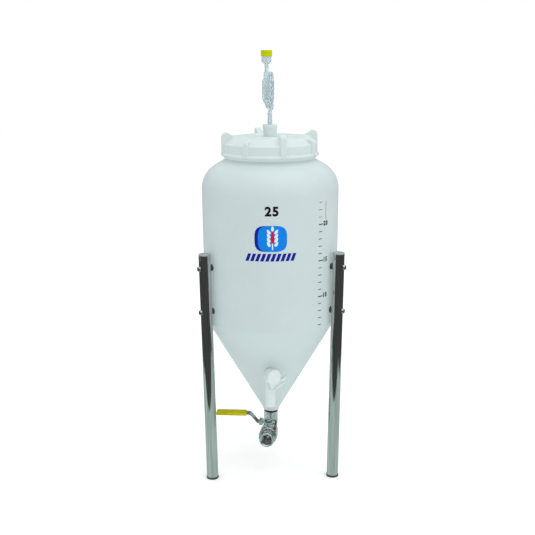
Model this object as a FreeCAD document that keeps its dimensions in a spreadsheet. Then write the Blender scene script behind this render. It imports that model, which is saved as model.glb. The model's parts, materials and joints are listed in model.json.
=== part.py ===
"""Conical fermenter: a 25 litre plastic tank with a conical base on three steel legs.

Millimetres, +Z up. The origin is on the tank's axis, at floor level between the three feet.
The front, where the tap and the drain valve point, is -Y. Every sub-part is an object with its
own Label, which names its STEP file, and its sizes are bound to the sheet "Sizes".
"""
import os
import re
from math import atan2, cos, hypot, pi, radians, sin, sqrt

import FreeCAD
import Part
import Sketcher
from FreeCAD import Placement, Rotation, Vector

DIMENSIONS = [
    # name, value in millimetres or degrees, meaning
    ("tank_radius", 147.5, "outside of the tank at the foot of its shoulder"),
    ("waist_radius", 144.8, "outside of the tank where the cone starts"),
    ("tank_wall", 3.0, "wall of the tank"),
    ("outlet_height", 131.6, "underside of the tank's outlet collar"),
    ("cone_foot", 135.4, "lower end of the cone"),
    ("waist_height", 351.0, "upper end of the cone"),
    ("shoulder_height", 636.2, "foot of the shoulder"),
    ("shoulder_radius", 59.3, "radius of the rounded shoulder"),
    ("shoulder_turn", 60.0, "angle through which the shoulder is round, before it runs straight"),
    ("neck_radius", 94.25, "outside of the threaded neck"),
    ("rim_height", 728.3, "top of the neck"),
    ("collar_radius", 18.0, "outside of the outlet collar"),
    ("outlet_radius", 13.5, "hole at the tank's lowest point"),
    ("thread_pitch", 8.0, "pitch of the lid's thread"),
    ("thread_reach", 10.0, "height over which the thread ridge climbs"),
    ("thread_depth", 2.35, "height of the ridge on the neck"),
    ("thread_root", 3.2, "width of a thread ridge at its root"),
    ("thread_crest", 1.6, "width of a thread ridge at its crest"),
    ("thread_sink", 0.6, "depth by which a thread ridge is sunk into its wall"),
    ("neck_thread_height", 711.0, "start of the neck's ridge"),
    ("lid_bore", 97.4, "inside of the lid's skirt"),
    ("lid_radius", 101.0, "outside of the lid's skirt"),
    ("lid_foot", 703.0, "lower edge of the lid"),
    ("lid_corner", 733.0, "edge between the lid's skirt and its sloping deck"),
    ("lid_top", 747.0, "flat top of the lid"),
    ("lid_flat_radius", 84.0, "edge of the lid's flat top"),
    ("lid_wall", 3.5, "wall of the lid"),
    ("bead_radius", 105.5, "outside of the lid's bead and lugs"),
    ("bead_low", 708.0, "lower edge of the bead"),
    ("bead_high", 714.5, "upper edge of the bead"),
    ("bead_bevel", 1.5, "bevel at the bead's lower edge"),
    ("bead_slope", 2.5, "bevel at the bead's upper edge"),
    ("ear_width", 13.0, "thickness of each of the four ears"),
    ("ear_top", 758.5, "top of the ears"),
    ("ear_flat", 95.0, "radius at which an ear is highest"),
    ("ear_root", 75.0, "inner end of the ears and ribs"),
    ("rib_width", 11.0, "thickness of each of the four ribs between the ears"),
    ("rib_top", 744.0, "top of the ribs"),
    ("rib_depth", 7.0, "rounding of a rib's outer corner"),
    ("lug_angle", 15.7, "turn of the first ear from the front towards +X"),
    ("lid_hole", 13.65, "radius of the lid's hole at its underside"),
    ("gasket_inside", 85.5, "inside of the lid gasket"),
    ("gasket_thickness", 2.5, "lid gasket"),
    ("gasket_inset", 1.5, "gap between the gasket and the outside of the neck"),
    ("bung_foot", 733.0, "lower end of the bung"),
    ("bung_top", 772.4, "upper end of the bung"),
    ("bung_radius", 15.65, "top radius of the bung"),
    ("bung_taper", 0.0717, "fall of the bung's radius per millimetre"),
    ("stem_radius", 4.9, "outside of the airlock's stem"),
    ("tube_radius", 4.2, "outside of the airlock's bent tube"),
    ("airlock_wall", 1.3, "wall of the airlock"),
    ("stem_foot", 735.0, "lower end of the airlock's stem"),
    ("riser_foot", 775.0, "height at which the bent tube takes over from the stem"),
    ("riser_offset", 12.6, "riser of the airlock behind the stem"),
    ("jog_low", 796.0, "height at which the tube leaves the stem's axis"),
    ("jog_rise", 18.0, "height over which the tube swings from the stem to the riser"),
    ("bend_top", 872.0, "foot of the bend at the riser's top"),
    ("trap_height", 819.5, "foot of the bend below the two chambers"),
    ("chamber_radius", 9.5, "outside of the airlock's two chambers"),
    ("chamber_pitch", 18.6, "distance between the two chambers"),
    ("chamber_low", 828.0, "lower end of the chambers' straight wall"),
    ("chamber_high", 865.0, "upper end of the chambers' straight wall"),
    ("chamber_taper", 12.0, "length of the chambers' lower taper"),
    ("chamber_shoulder", 6.4, "outside of the neck over a chamber"),
    ("cup_neck_low", 883.0, "lower end of the narrow neck under the airlock's cup"),
    ("cup_neck_high", 898.0, "upper end of the narrow neck under the airlock's cup"),
    ("cup_foot", 904.0, "upper end of the taper into the airlock's cup"),
    ("cup_radius", 10.25, "outside of the airlock's cup"),
    ("cup_rim", 924.3, "rim of the airlock's cup"),
    ("cap_radius", 11.75, "outside of the airlock's cap"),
    ("cap_foot", 914.0, "lower edge of the airlock's cap"),
    ("cap_top", 927.0, "top of the airlock's cap"),
    ("vent_radius", 0.8, "vents of the airlock's cap"),
    ("vent_circle", 4.5, "radius of the circle of vents"),
    ("airlock_yaw", -110.0, "direction from the airlock's riser to its cup"),
    ("leg_radius", 12.7, "outside of the leg tube"),
    ("leg_wall", 1.5, "wall of the leg tube"),
    ("leg_foot_circle", 153.7, "radius at which the legs meet the floor"),
    ("leg_lean", 1.1, "lean of the legs, outwards at the top"),
    ("leg_low", 4.5, "lower end of the leg tube"),
    ("leg_high", 507.0, "upper end of the leg tube"),
    ("foot_radius", 13.6, "outside of a rubber foot"),
    ("foot_flare", 1.4, "height of the bevel at a foot's lower edge"),
    ("foot_stem", 18.0, "length of a foot inside its leg"),
    ("plug_thickness", 2.5, "visible thickness of a leg's end plug"),
    ("plug_length", 14.0, "length of an end plug inside its leg"),
    ("bolt_low", 382.6, "height of the lower leg bolts"),
    ("bolt_high", 478.0, "height of the upper leg bolts"),
    ("bolt_radius", 3.0, "shank of a leg bolt, M6"),
    ("bolt_head_radius", 5.8, "head of a leg bolt"),
    ("bolt_head_depth", 4.5, "height of a leg bolt's head"),
    ("bolt_end", 11.0, "end of a leg bolt, inside the tank's wall"),
    ("bolt_hole", 3.25, "holes for the leg bolts"),
    ("spacer_radius", 7.0, "rubber spacer between leg and tank"),
    ("nut_flats", 10.0, "width across the flats of an M6 nut"),
    ("nut_thickness", 5.0, "height of an M6 nut"),
    ("washer_radius", 8.0, "outside of a sealing washer inside the tank"),
    ("washer_thickness", 2.0, "sealing washer inside the tank"),
    ("washer_gap", 0.4, "gap between a flat washer and the tank's round wall"),
    ("tap_height", 247.5, "axis of the tap"),
    ("tap_yaw", -91.0, "direction of the tap's shank"),
    ("tap_hole", 10.4, "hole in the cone for the tap"),
    ("shank_radius", 10.1, "threaded shank of the tap"),
    ("shank_length", 41.0, "shank behind the tap's flange"),
    ("shank_bore", 6.5, "bore of the tap's shank"),
    ("flange_distance", 93.6, "back of the tap's flange, from the tank's axis"),
    ("flange_radius", 11.6, "outside of the tap's flange"),
    ("flange_thickness", 3.0, "tap's flange"),
    ("tap_neck_radius", 9.5, "neck between the tap's flange and its barrel"),
    ("tap_seal_radius", 11.4, "outside of the wedge seal under the flange"),
    ("inner_seal_radius", 14.0, "outside of the wedge seal inside the cone"),
    ("tap_nut_flats", 26.0, "width across the flats of the tap's lock nut"),
    ("tap_nut_thickness", 8.0, "tap's lock nut"),
    ("barrel_distance", 107.0, "axis of the tap's spout, from the tank's axis"),
    ("barrel_radius", 12.5, "outside of the tap's barrel"),
    ("barrel_top", 10.0, "top of the barrel's dome, above the shank's axis"),
    ("spout_height", 178.5, "mouth of the tap's spout"),
    ("spout_radius", 11.2, "outside of the tap's spout"),
    ("spout_length", 35.5, "straight length of the tap's spout"),
    ("spout_wall", 3.0, "wall of the tap's spout"),
    ("knob_yaw", 29.5, "turn of the tap's knob from its shank"),
    ("knob_radius", 16.5, "outside of the tap's knob"),
    ("knob_back", 13.2, "back of the knob, from the spout's axis"),
    ("knob_face", 19.0, "front of the knob, from the spout's axis"),
    ("knob_rounding", 2.5, "rounding of the knob's face"),
    ("lever_sheet", 2.4, "thickness of the knob's thumb lever"),
    ("rim_depth", 6.0, "depth of the rims on the thumb lever"),
    ("rim_wall", 2.0, "thickness of the rims on the thumb lever"),
    ("tap_plug_radius", 8.0, "turning plug inside the tap"),
    ("tap_plug_rear", 8.6, "rear end of the plug, behind the spout's axis"),
    ("port_radius", 5.0, "port across the tap's plug"),
    ("drain_gasket_radius", 15.6, "outside of the red gasket under the tank"),
    ("drain_gasket_depth", 5.0, "red gasket under the tank"),
    ("drain_seal_low", 3.0, "seal inside the cone's tip, above the cone's foot"),
    ("drain_seal_high", 9.0, "top of that seal, above the cone's foot"),
    ("drain_nut_flats", 30.0, "width across the flats of the drain's lock nut"),
    ("drain_nut_thickness", 8.0, "drain's lock nut"),
    ("nipple_reach", 19.0, "top of the elbow's threaded end, above the cone's foot"),
    ("nipple_depth", 12.0, "length of the elbow's other end inside the valve"),
    ("flow_height", 90.2, "bore axis of the drain valve"),
    ("elbow_bend", 20.0, "bend radius of the elbow's axis"),
    ("elbow_radius", 14.8, "outside of the elbow"),
    ("pipe_thread_radius", 13.2, "three-quarter inch pipe thread, outside"),
    ("pipe_bore", 9.5, "bore of the elbow, the ball and the valve"),
    ("valve_distance", 52.0, "stem of the valve, from the tank's axis"),
    ("valve_yaw", -97.0, "direction of flow through the valve"),
    ("valve_rear", 30.0, "rear end of the valve, behind its stem"),
    ("valve_front", 36.0, "front end of the valve, before its stem"),
    ("ball_radius", 14.5, "ball of the valve"),
    ("cavity_radius", 15.5, "cavity round the ball"),
    ("barrel_outside", 20.0, "outside of the valve's barrel"),
    ("barrel_end", 14.0, "front end of the valve's barrel, before its stem"),
    ("collar_outside", 18.0, "collar at the valve's rear end"),
    ("waist_outside", 16.6, "waist between the valve's barrel and its collar"),
    ("body_socket", 17.0, "floor of the valve's rear socket, behind its stem"),
    ("seat_radius", 13.1, "pocket of the valve's seats"),
    ("seat_back", 15.0, "back of the valve's seats, from its stem"),
    ("cap_joint", 9.0, "joint between the valve's body and its end cap"),
    ("cap_neck", 15.4, "outside of the end cap inside the valve's barrel"),
    ("cap_lip", 16.2, "lip round the valve's outlet"),
    ("cap_socket", 18.0, "floor of the valve's outlet socket, before its stem"),
    ("cap_hexagon", 33.0, "width across the flats of the end cap"),
    ("cap_hexagon_length", 12.0, "length of the end cap's hexagon"),
    ("outlet_thread_radius", 12.1, "threaded socket of the valve's outlet"),
    ("bonnet_radius", 9.5, "boss round the valve's stem"),
    ("bonnet_foot", 17.0, "start of that boss, above the bore axis"),
    ("bonnet_height", 7.0, "height of that boss"),
    ("packing_foot", 19.0, "underside of the stem's packing"),
    ("packing_top", 22.5, "top of the stem's packing"),
    ("packing_radius", 7.0, "chamber of the stem's packing"),
    ("gland_flats", 17.0, "width across the flats of the gland nut"),
    ("gland_foot", 24.0, "underside of the gland nut, above the bore axis"),
    ("gland_thickness", 3.5, "gland nut"),
    ("stem_low", 14.6, "foot of the stem's round part, above the bore axis"),
    ("stem_thread_radius", 4.0, "threaded end of the stem"),
    ("stem_top", 38.0, "top of the stem, above the bore axis"),
    ("tang_width", 4.0, "thickness of the stem's tang"),
    ("tang_length", 8.0, "length of the stem's tang"),
    ("tang_foot", 11.5, "underside of the tang, above the bore axis"),
    ("slot_foot", 11.3, "bottom of the ball's slot, above the bore axis"),
    ("slot_width", 4.2, "slot of the ball for the tang"),
    ("valve_stem_radius", 4.5, "stem of the valve"),
    ("lever_nut_flats", 13.0, "width across the flats of the lever's nut"),
    ("lever_nut_thickness", 5.0, "lever's nut"),
    ("lever_turn", -87.5, "direction of the lever, from the bore's axis"),
    ("lever_height", 28.5, "underside of the lever's hub, above the bore axis"),
    ("lever_rise", 19.5, "rise of the lever from its hub to its grip"),
    ("lever_plate", 2.5, "thickness of the lever"),
    ("lever_width", 19.0, "width of the lever's strip"),
    ("hub_radius", 11.5, "round hub of the lever"),
    ("bend_start", 24.0, "lower bend of the lever, from the stem"),
    ("bend_end", 40.0, "upper bend of the lever, from the stem"),
    ("lever_reach", 113.5, "length of the lever from the stem"),
    ("grip_start", 48.5, "inner end of the grip, from the stem"),
    ("grip_end", 115.5, "outer end of the grip, from the stem"),
    ("grip_width", 23.0, "width of the grip"),
    ("grip_thickness", 8.2, "thickness of the grip"),
    ("grip_corner", 3.4, "rounding of the grip's long edges"),
    ("lock_start", 12.1, "inner end of the lever's lock, from the stem"),
    ("lock_length", 8.0, "length of the lever's lock"),
    ("lock_side", 2.4, "lock beyond each side of the lever"),
    ("lock_cover", 3.0, "lock above and below the lever"),
    ("lock_gap", 0.1, "clearance of the lock on the lever"),
    ("running_gap", 0.05, "radial clearance of parts that turn or slide in each other"),
]

doc = FreeCAD.newDocument("ConicalFermenter")
sheet = doc.addObject("Spreadsheet::Sheet", "Sizes")
for row, (alias, size, meaning) in enumerate(DIMENSIONS, start=1):
    sheet.set(f"A{row}", alias)
    sheet.set(f"B{row}", str(size))
    sheet.setAlias(f"B{row}", alias)
    sheet.set(f"C{row}", meaning)
doc.recompute()

NAMES = {alias for alias, size, meaning in DIMENSIONS}
nodes = []


# ---------------------------------------------------------------- sizes and formulas

def formula(text):
    """A formula of dimension names, written so that any object of the document can use it."""
    return re.sub(r"[a-z][a-z_]+", lambda word: "Sizes." + word.group()
                  if word.group() in NAMES else word.group(), text)


def value(text):
    """The number that a formula of dimension names gives."""
    return float(sheet.evalExpression(text))


def bind(target, size_name, text):
    """Set a size to a formula's value and bind it to that formula."""
    target.setExpression(size_name, formula(text))


def keep(thing, label):
    """Name a finished sub-part."""
    thing.Label = label
    nodes.append(thing)
    return thing


def place(thing, yaw=0.0, distance=0.0, height=0.0, lean=0.0):
    """Put a sub-part out along a direction round the tank's axis, at a height, with a lean."""
    turn = Rotation(Vector(0, 0, 1), yaw)
    base = turn.multVec(Vector(distance, 0, height))
    thing.Placement = Placement(base, turn.multiply(Rotation(Vector(0, 1, 0), lean)))


# ---------------------------------------------------------------- bodies, sketches, features

def new_body(name):
    body = doc.addObject("PartDesign::Body", name)
    body.AllowCompound = True
    return body


def origin(body, role):
    """A plane or an axis of a body's own origin."""
    return next(item for item in body.Origin.OriginFeatures if item.Role == role)


def new_sketch(body, name, plane="XZ_Plane", shift=("0", "0", "0"), turn=None):
    """A sketch on one of the body's planes, shifted in the plane's own right, up and out."""
    sketch = body.newObject("Sketcher::SketchObject", name)
    sketch.AttachmentSupport = [(origin(body, plane), "")]
    sketch.MapMode = "FlatFace"
    sketch.AttachmentOffset = Placement(Vector(*[value(text) for text in shift]), turn or Rotation())
    for letter, text in zip("xyz", shift):
        bind(sketch, f"AttachmentOffset.Base.{letter}", text)
    return sketch


def pin_point(sketch, element, point, corner):
    """Hold a sketch point at the two formulas of a corner."""
    for kind, text in zip(("DistanceX", "DistanceY"), corner):
        constraint = Sketcher.Constraint(kind, -1, 1, element, point, value(text))
        index = sketch.addConstraint(constraint)
        bind(sketch, f"Constraints[{index}]", text)


def outline(sketch, corners, closed=True):
    """An outline, or an open path. A corner is two formulas, and a third is the radius of the
    arc that leaves it: positive where the arc's centre is to the left of the way round."""
    points = [Vector(value(corner[0]), value(corner[1]), 0) for corner in corners]
    edges = corners if closed else corners[:-1]
    ends = []
    for index, corner in enumerate(edges):
        start = points[index]
        stop = points[(index + 1) % len(corners)]
        if len(corner) == 2:
            ends.append((sketch.addGeometry(Part.LineSegment(start, stop), False), 1, 2))
            continue
        radius = abs(value(corner[2]))
        leftward = value(corner[2]) > 0
        chord = stop - start
        reach = sqrt(radius ** 2 - (chord.Length / 2) ** 2) * (1 if leftward else -1)
        left = Vector(-chord.y, chord.x, 0).normalize()
        centre = (start + stop) / 2 + left * reach
        first, last = (start, stop) if leftward else (stop, start)
        from_angle = atan2(first.y - centre.y, first.x - centre.x)
        to_angle = atan2(last.y - centre.y, last.x - centre.x)
        if to_angle < from_angle:
            to_angle += 2 * pi
        circle = Part.Circle(centre, Vector(0, 0, 1), radius)
        element = sketch.addGeometry(Part.ArcOfCircle(circle, from_angle, to_angle), False)
        size = sketch.addConstraint(Sketcher.Constraint("Radius", element, radius))
        bind(sketch, f"Constraints[{size}]", f"abs({corner[2]})")
        ends.append((element, 1, 2) if leftward else (element, 2, 1))
    for index, corner in enumerate(edges):
        element, start_point, stop_point = ends[index]
        pin_point(sketch, element, start_point, corner[:2])
        if index + 1 == len(edges) and not closed:
            pin_point(sketch, element, stop_point, corners[-1][:2])
            continue
        next_element, next_start, next_stop = ends[(index + 1) % len(ends)]
        sketch.addConstraint(
            Sketcher.Constraint("Coincident", element, stop_point, next_element, next_start))


def circle(sketch, radius, centre=("0", "0")):
    middle = Vector(value(centre[0]), value(centre[1]), 0)
    element = sketch.addGeometry(Part.Circle(middle, Vector(0, 0, 1), value(radius)), False)
    pin_point(sketch, element, 3, centre)
    index = sketch.addConstraint(Sketcher.Constraint("Radius", element, value(radius)))
    bind(sketch, f"Constraints[{index}]", radius)


def hexagon(sketch, flats):
    """A hexagon round the sketch's origin, from its width across the flats."""
    corners = [(f"({flats}) / sqrt(3) * {round(cos(radians(60 * turn)), 6)}",
                f"({flats}) / sqrt(3) * {round(sin(radians(60 * turn)), 6)}") for turn in range(6)]
    outline(sketch, corners)


def revolve(body, name, corners, axis="V_Axis", cut=False, shift=("0", "0", "0")):
    """A solid or a groove of revolution, from an outline in the body's XZ plane."""
    sketch = new_sketch(body, name + "Profile", shift=shift)
    outline(sketch, corners)
    feature = body.newObject("PartDesign::Groove" if cut else "PartDesign::Revolution", name)
    feature.Profile = sketch
    feature.ReferenceAxis = (sketch, [axis])
    feature.Angle = 360
    return feature


def pad(body, name, sketch, length, cut=False, both=False, back=False):
    """Pad or pocket a sketch; both is to each side of its plane, back is the other way."""
    feature = body.newObject("PartDesign::Pocket" if cut else "PartDesign::Pad", name)
    feature.Profile = sketch
    feature.SideType = "Symmetric" if both else "One side"
    feature.Reversed = back
    bind(feature, "Length", length)
    return feature


def pipe(body, name, path, radius, start, plane="XY_Plane", cut=False):
    """A round bar, or a round bore, along a path drawn in the body's XZ plane.
    The path is a list like an outline's, open at its end; start is the section's place."""
    spine = new_sketch(body, name + "Path")
    outline(spine, path, closed=False)
    section = new_sketch(body, name + "Section", plane, start)
    circle(section, radius)
    kind = "PartDesign::SubtractivePipe" if cut else "PartDesign::AdditivePipe"
    feature = body.newObject(kind, name)
    feature.Profile = section
    feature.Spine = (spine, [f"Edge{index + 1}" for index in range(spine.GeometryCount)])
    feature.Mode = "Standard"
    return feature


def helix(body, name, corners):
    """A thread ridge that climbs round the body's Z axis."""
    sketch = new_sketch(body, name + "Profile")
    outline(sketch, corners)
    doc.recompute()
    feature = body.newObject("PartDesign::AdditiveHelix", name)
    feature.Profile = sketch
    feature.ReferenceAxis = (sketch, ["V_Axis"])
    feature.Mode = 0
    bind(feature, "Pitch", "thread_pitch")
    bind(feature, "Height", "thread_reach")
    return feature


def repeat_round(body, name, originals, count):
    """Repeat features round the body's Z axis and make the pattern the body's tip."""
    pattern = body.newObject("PartDesign::PolarPattern", name)
    pattern.Originals = originals
    pattern.Axis = (origin(body, "Z_Axis"), [""])
    pattern.Angle = 360
    pattern.Occurrences = count
    body.Tip = pattern
    return pattern


def cylinder(name, radius, height, base=Vector(), direction=Vector(0, 0, 1)):
    """A plain cylinder, for boolean work."""
    solid = doc.addObject("Part::Cylinder", name)
    bind(solid, "Radius", radius)
    bind(solid, "Height", height)
    solid.Placement = Placement(base, Rotation(Vector(0, 0, 1), direction))
    return solid


def cone(name, low_radius, high_radius, low, high):
    """A cone or taper round the tank's axis between two heights."""
    solid = doc.addObject("Part::Cone", name)
    bind(solid, "Radius1", low_radius)
    bind(solid, "Radius2", high_radius)
    bind(solid, "Height", f"({high}) - ({low})")
    solid.Placement = Placement(Vector(0, 0, value(low)), Rotation())
    return solid


def cut(name, base, tool):
    result = doc.addObject("Part::Cut", name)
    result.Base = base
    result.Tool = tool
    return result


def fuse(name, shapes):
    result = doc.addObject("Part::MultiFuse", name)
    result.Shapes = shapes
    return result


# ---------------------------------------------------------------- derived lengths

CONE_SLOPE = "(waist_radius - collar_radius) / (waist_height - cone_foot)"
WALL_ACROSS = f"tank_wall * sqrt(1 + ({CONE_SLOPE}) ^ 2)"
SHOULDER_CENTRE = "(tank_radius - shoulder_radius)"
SHOULDER_END = (f"{SHOULDER_CENTRE} + shoulder_radius * cos(shoulder_turn)",
                "shoulder_height + shoulder_radius * sin(shoulder_turn)")
SHOULDER_END_INSIDE = (f"{SHOULDER_CENTRE} + (shoulder_radius - tank_wall) * cos(shoulder_turn)",
                       "shoulder_height + (shoulder_radius - tank_wall) * sin(shoulder_turn)")
NECK_BASE = f"{SHOULDER_END[1]} + ({SHOULDER_END[0]} - neck_radius) / tan(shoulder_turn)"
NECK_BASE_INSIDE = (f"{SHOULDER_END_INSIDE[1]} + ({SHOULDER_END_INSIDE[0]} - neck_radius + tank_wall)"
                    " / tan(shoulder_turn)")
CONE_FOOT_INSIDE = f"cone_foot + (outlet_radius - collar_radius + {WALL_ACROSS}) / ({CONE_SLOPE})"
DECK_SLOPE = "(lid_top - lid_corner) / (lid_radius - lid_flat_radius)"
LEG_AZIMUTHS = {"left": 211.8, "right": -28.2, "rear": 91.8}


def cone_radius(height):
    """Formula of the cone's outside radius at a height."""
    return f"(collar_radius + ({CONE_SLOPE}) * (({height}) - cone_foot))"


def wall_radius(height):
    """Formula of the outside radius of the tank's nearly upright wall at a height."""
    return (f"(waist_radius + (tank_radius - waist_radius) * (({height}) - waist_height)"
            f" / (shoulder_height - waist_height))")


def leg_distance(height):
    """Formula of a leg axis's distance from the tank's axis at a height."""
    return f"(leg_foot_circle + ({height}) * tan(leg_lean * 1 deg))"


# ---------------------------------------------------------------- tank, lid and airlock

def make_tank():
    body = new_body("Tank")
    revolve(body, "Wall", [
        ("outlet_radius", "outlet_height"),
        ("collar_radius", "outlet_height"),
        ("collar_radius", "cone_foot"),
        ("waist_radius", "waist_height"),
        ("tank_radius", "shoulder_height", "shoulder_radius"),
        SHOULDER_END,
        ("neck_radius", NECK_BASE),
        ("neck_radius", "rim_height"),
        ("neck_radius - tank_wall", "rim_height"),
        ("neck_radius - tank_wall", NECK_BASE_INSIDE),
        (*SHOULDER_END_INSIDE, "tank_wall - shoulder_radius"),
        ("tank_radius - tank_wall", "shoulder_height"),
        ("waist_radius - tank_wall", "waist_height"),
        ("outlet_radius", CONE_FOOT_INSIDE),
    ])
    helix(body, "NeckThread", thread_profile("neck_radius", "neck_thread_height", "1"))
    doc.recompute()
    drilled = []
    for name, height in (("LowBoltHole", "bolt_low"), ("HighBoltHole", "bolt_high")):
        turn = Rotation(Vector(0, 1, 0), LEG_AZIMUTHS["rear"] - 90)
        sketch = new_sketch(body, name + "Circle", turn=turn)
        circle(sketch, "bolt_hole", ("0", height))
        drilled.append(pad(body, name, sketch, "tank_radius + 5", cut=True))
    doc.recompute()
    repeat_round(body, "BoltHoles", drilled, 3)
    doc.recompute()
    turn = Rotation(Vector(0, 1, 0), value("tap_yaw") + 90)
    sketch = new_sketch(body, "TapHoleCircle", turn=turn)
    circle(sketch, "tap_hole", ("0", "tap_height"))
    body.Tip = pad(body, "TapHole", sketch, "tank_radius", cut=True, back=True)
    return keep(body, "tank")


def thread_profile(root_radius, height, outward):
    """Outline of a thread ridge that stands outwards (1) or inwards (-1) from a wall."""
    root = f"{root_radius} - thread_sink * ({outward})"
    crest = f"{root_radius} + thread_depth * ({outward})"
    corners = [(root, f"{height} - thread_root / 2"), (crest, f"{height} - thread_crest / 2"),
               (crest, f"{height} + thread_crest / 2"), (root, f"{height} + thread_root / 2")]
    return corners if outward == "1" else corners[::-1]


def deck_height(radius):
    """Height of the lid's sloping deck at a radius."""
    return f"lid_top - ({radius} - lid_flat_radius) * ({DECK_SLOPE})"


def make_lid():
    body = new_body("Lid")
    press_height = "rim_height + gasket_thickness"
    underside = f"{deck_height('gasket_inside')} - lid_wall * sqrt(1 + ({DECK_SLOPE}) ^ 2)"
    corner_inset = f"lid_wall * (sqrt(1 + ({DECK_SLOPE}) ^ 2) - 1) / ({DECK_SLOPE})"
    revolve(body, "Shell", [
        ("lid_bore", "lid_foot"),
        ("lid_radius - 2", "lid_foot"),
        ("lid_radius", "bead_low - 1"),
        ("bead_radius - bead_bevel", "bead_low"),
        ("bead_radius", "bead_low + bead_bevel"),
        ("bead_radius", "bead_high - bead_slope"),
        ("bead_radius - bead_slope", "bead_high"),
        ("lid_radius", "bead_high + 0.5"),
        ("lid_radius", "lid_corner"),
        ("lid_flat_radius", "lid_top"),
        ("lid_hole + bung_taper * lid_wall", "lid_top"),
        ("lid_hole", "lid_top - lid_wall"),
        (f"lid_flat_radius - {corner_inset}", "lid_top - lid_wall"),
        ("gasket_inside", underside),
        ("gasket_inside", press_height),
        ("lid_bore", press_height),
    ])
    lugs = []
    for name, angle, width, top, depth in (("Ear", 0, "ear_width", "ear_top", "bead_radius - ear_flat"),
                                           ("Rib", 45, "rib_width", "rib_top", "rib_depth")):
        sketch = new_sketch(body, name + "Side", turn=Rotation(Vector(0, 1, 0), angle))
        outline(sketch, [
            ("lid_radius - 1", "bead_low + 2"), ("bead_radius", "bead_low + 2"),
            ("bead_radius", f"{top} - ({depth})", depth), (f"bead_radius - ({depth})", top),
            ("ear_root", "lid_top"), ("ear_root", "lid_top - 1"),
            ("lid_radius - 1", "lid_corner - 1")])
        lugs.append(pad(body, name, sketch, width, both=True))
        doc.recompute()
    repeat_round(body, "Lugs", lugs, 4)
    helix(body, "LidThread", thread_profile("lid_bore", "neck_thread_height - thread_pitch / 2"
                                            " + thread_pitch * lug_angle / 360", "-1"))
    place(body, value("lug_angle"))
    return keep(body, "lid")


def make_lid_gasket():
    body = new_body("LidGasket")
    revolve(body, "Ring", [
        ("gasket_inside", "rim_height"),
        ("neck_radius - gasket_inset", "rim_height"),
        ("neck_radius - gasket_inset", "rim_height + gasket_thickness"),
        ("gasket_inside", "rim_height + gasket_thickness"),
    ])
    return keep(body, "lid_gasket")


def make_bung():
    body = new_body("Bung")
    bottom = "bung_radius - bung_taper * (bung_top - bung_foot)"
    revolve(body, "Taper", [
        ("stem_radius + running_gap", "bung_foot"),
        (bottom, "bung_foot"),
        ("bung_radius", "bung_top"),
        ("stem_radius + running_gap", "bung_top"),
    ])
    return keep(body, "bung")


def make_airlock_body():
    """The clear body: stem, riser, two chambers and cup, with one wall thickness all through.
    In its own frame X runs from the riser to the cup."""
    body = new_body("AirlockBody")
    half_bend = "riser_offset / 2"
    jog_bend = "(riser_offset ^ 2 + jog_rise ^ 2) / (4 * riser_offset)"
    trap_end = "chamber_low - chamber_taper / 2"
    riser = [("0", "riser_foot"), ("0", "jog_low", jog_bend),
             (f"-({half_bend})", "jog_low + jog_rise / 2", f"-({jog_bend})"),
             ("-riser_offset", "jog_low + jog_rise"), ("-riser_offset", "bend_top", f"-({half_bend})"),
             (f"-({half_bend})", f"bend_top + {half_bend}", f"-({half_bend})"),
             ("0", "bend_top"), ("0", "chamber_high")]
    trap = [("0", trap_end), ("0", "trap_height", "chamber_pitch / 2"),
            ("chamber_pitch / 2", "trap_height - chamber_pitch / 2", "chamber_pitch / 2"),
            ("chamber_pitch", "trap_height"), ("chamber_pitch", trap_end)]
    for skin, cutting in (("0", False), ("airlock_wall", True)):
        tag = "Hollow" if cutting else "Outside"
        revolve(body, "Stem" + tag, [
            ("0", "stem_foot"), (f"stem_radius - {skin}", "stem_foot"),
            (f"stem_radius - {skin}", "jog_low + 1"), ("0", "jog_low + 1")], cut=cutting)
        doc.recompute()
        pipe(body, "Riser" + tag, riser, f"tube_radius - {skin}", ("0", "0", "riser_foot"), cut=cutting)
        doc.recompute()
        pipe(body, "Trap" + tag, trap, f"tube_radius - {skin}", ("0", "0", trap_end), cut=cutting)
        doc.recompute()
        for index, name in enumerate(("Inlet", "Outlet")):
            corners = chamber_profile(skin, with_cup=index == 1)
            revolve(body, name + tag, corners, cut=cutting,
                    shift=(f"chamber_pitch * {index}", "0", "0"))
            doc.recompute()
    place(body, value("airlock_yaw"))
    return keep(body, "airlock_body")


def chamber_profile(skin, with_cup):
    """Half outline of a chamber about its own axis; skin is how far inside the wall it lies."""
    tube, shoulder = f"tube_radius - {skin}", f"chamber_shoulder - {skin}"
    lower = [("0", "chamber_low - chamber_taper"), (tube, "chamber_low - chamber_taper"),
             (f"chamber_radius - {skin}", f"chamber_low + 0.5 * ({skin})"),
             (f"chamber_radius - {skin}", f"chamber_high - 0.5 * ({skin})"),
             (shoulder, "chamber_high + 2")]
    if not with_cup:
        return lower + [(tube, "chamber_high + 5"), ("0", "chamber_high + 5")]
    return lower + [(shoulder, "cup_neck_low - 3"), (tube, "cup_neck_low"), (tube, "cup_neck_high"),
                    (f"cup_radius - {skin}", f"cup_foot + 0.8 * ({skin})"),
                    (f"cup_radius - {skin}", "cup_rim"), ("0", "cup_rim")]


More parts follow.
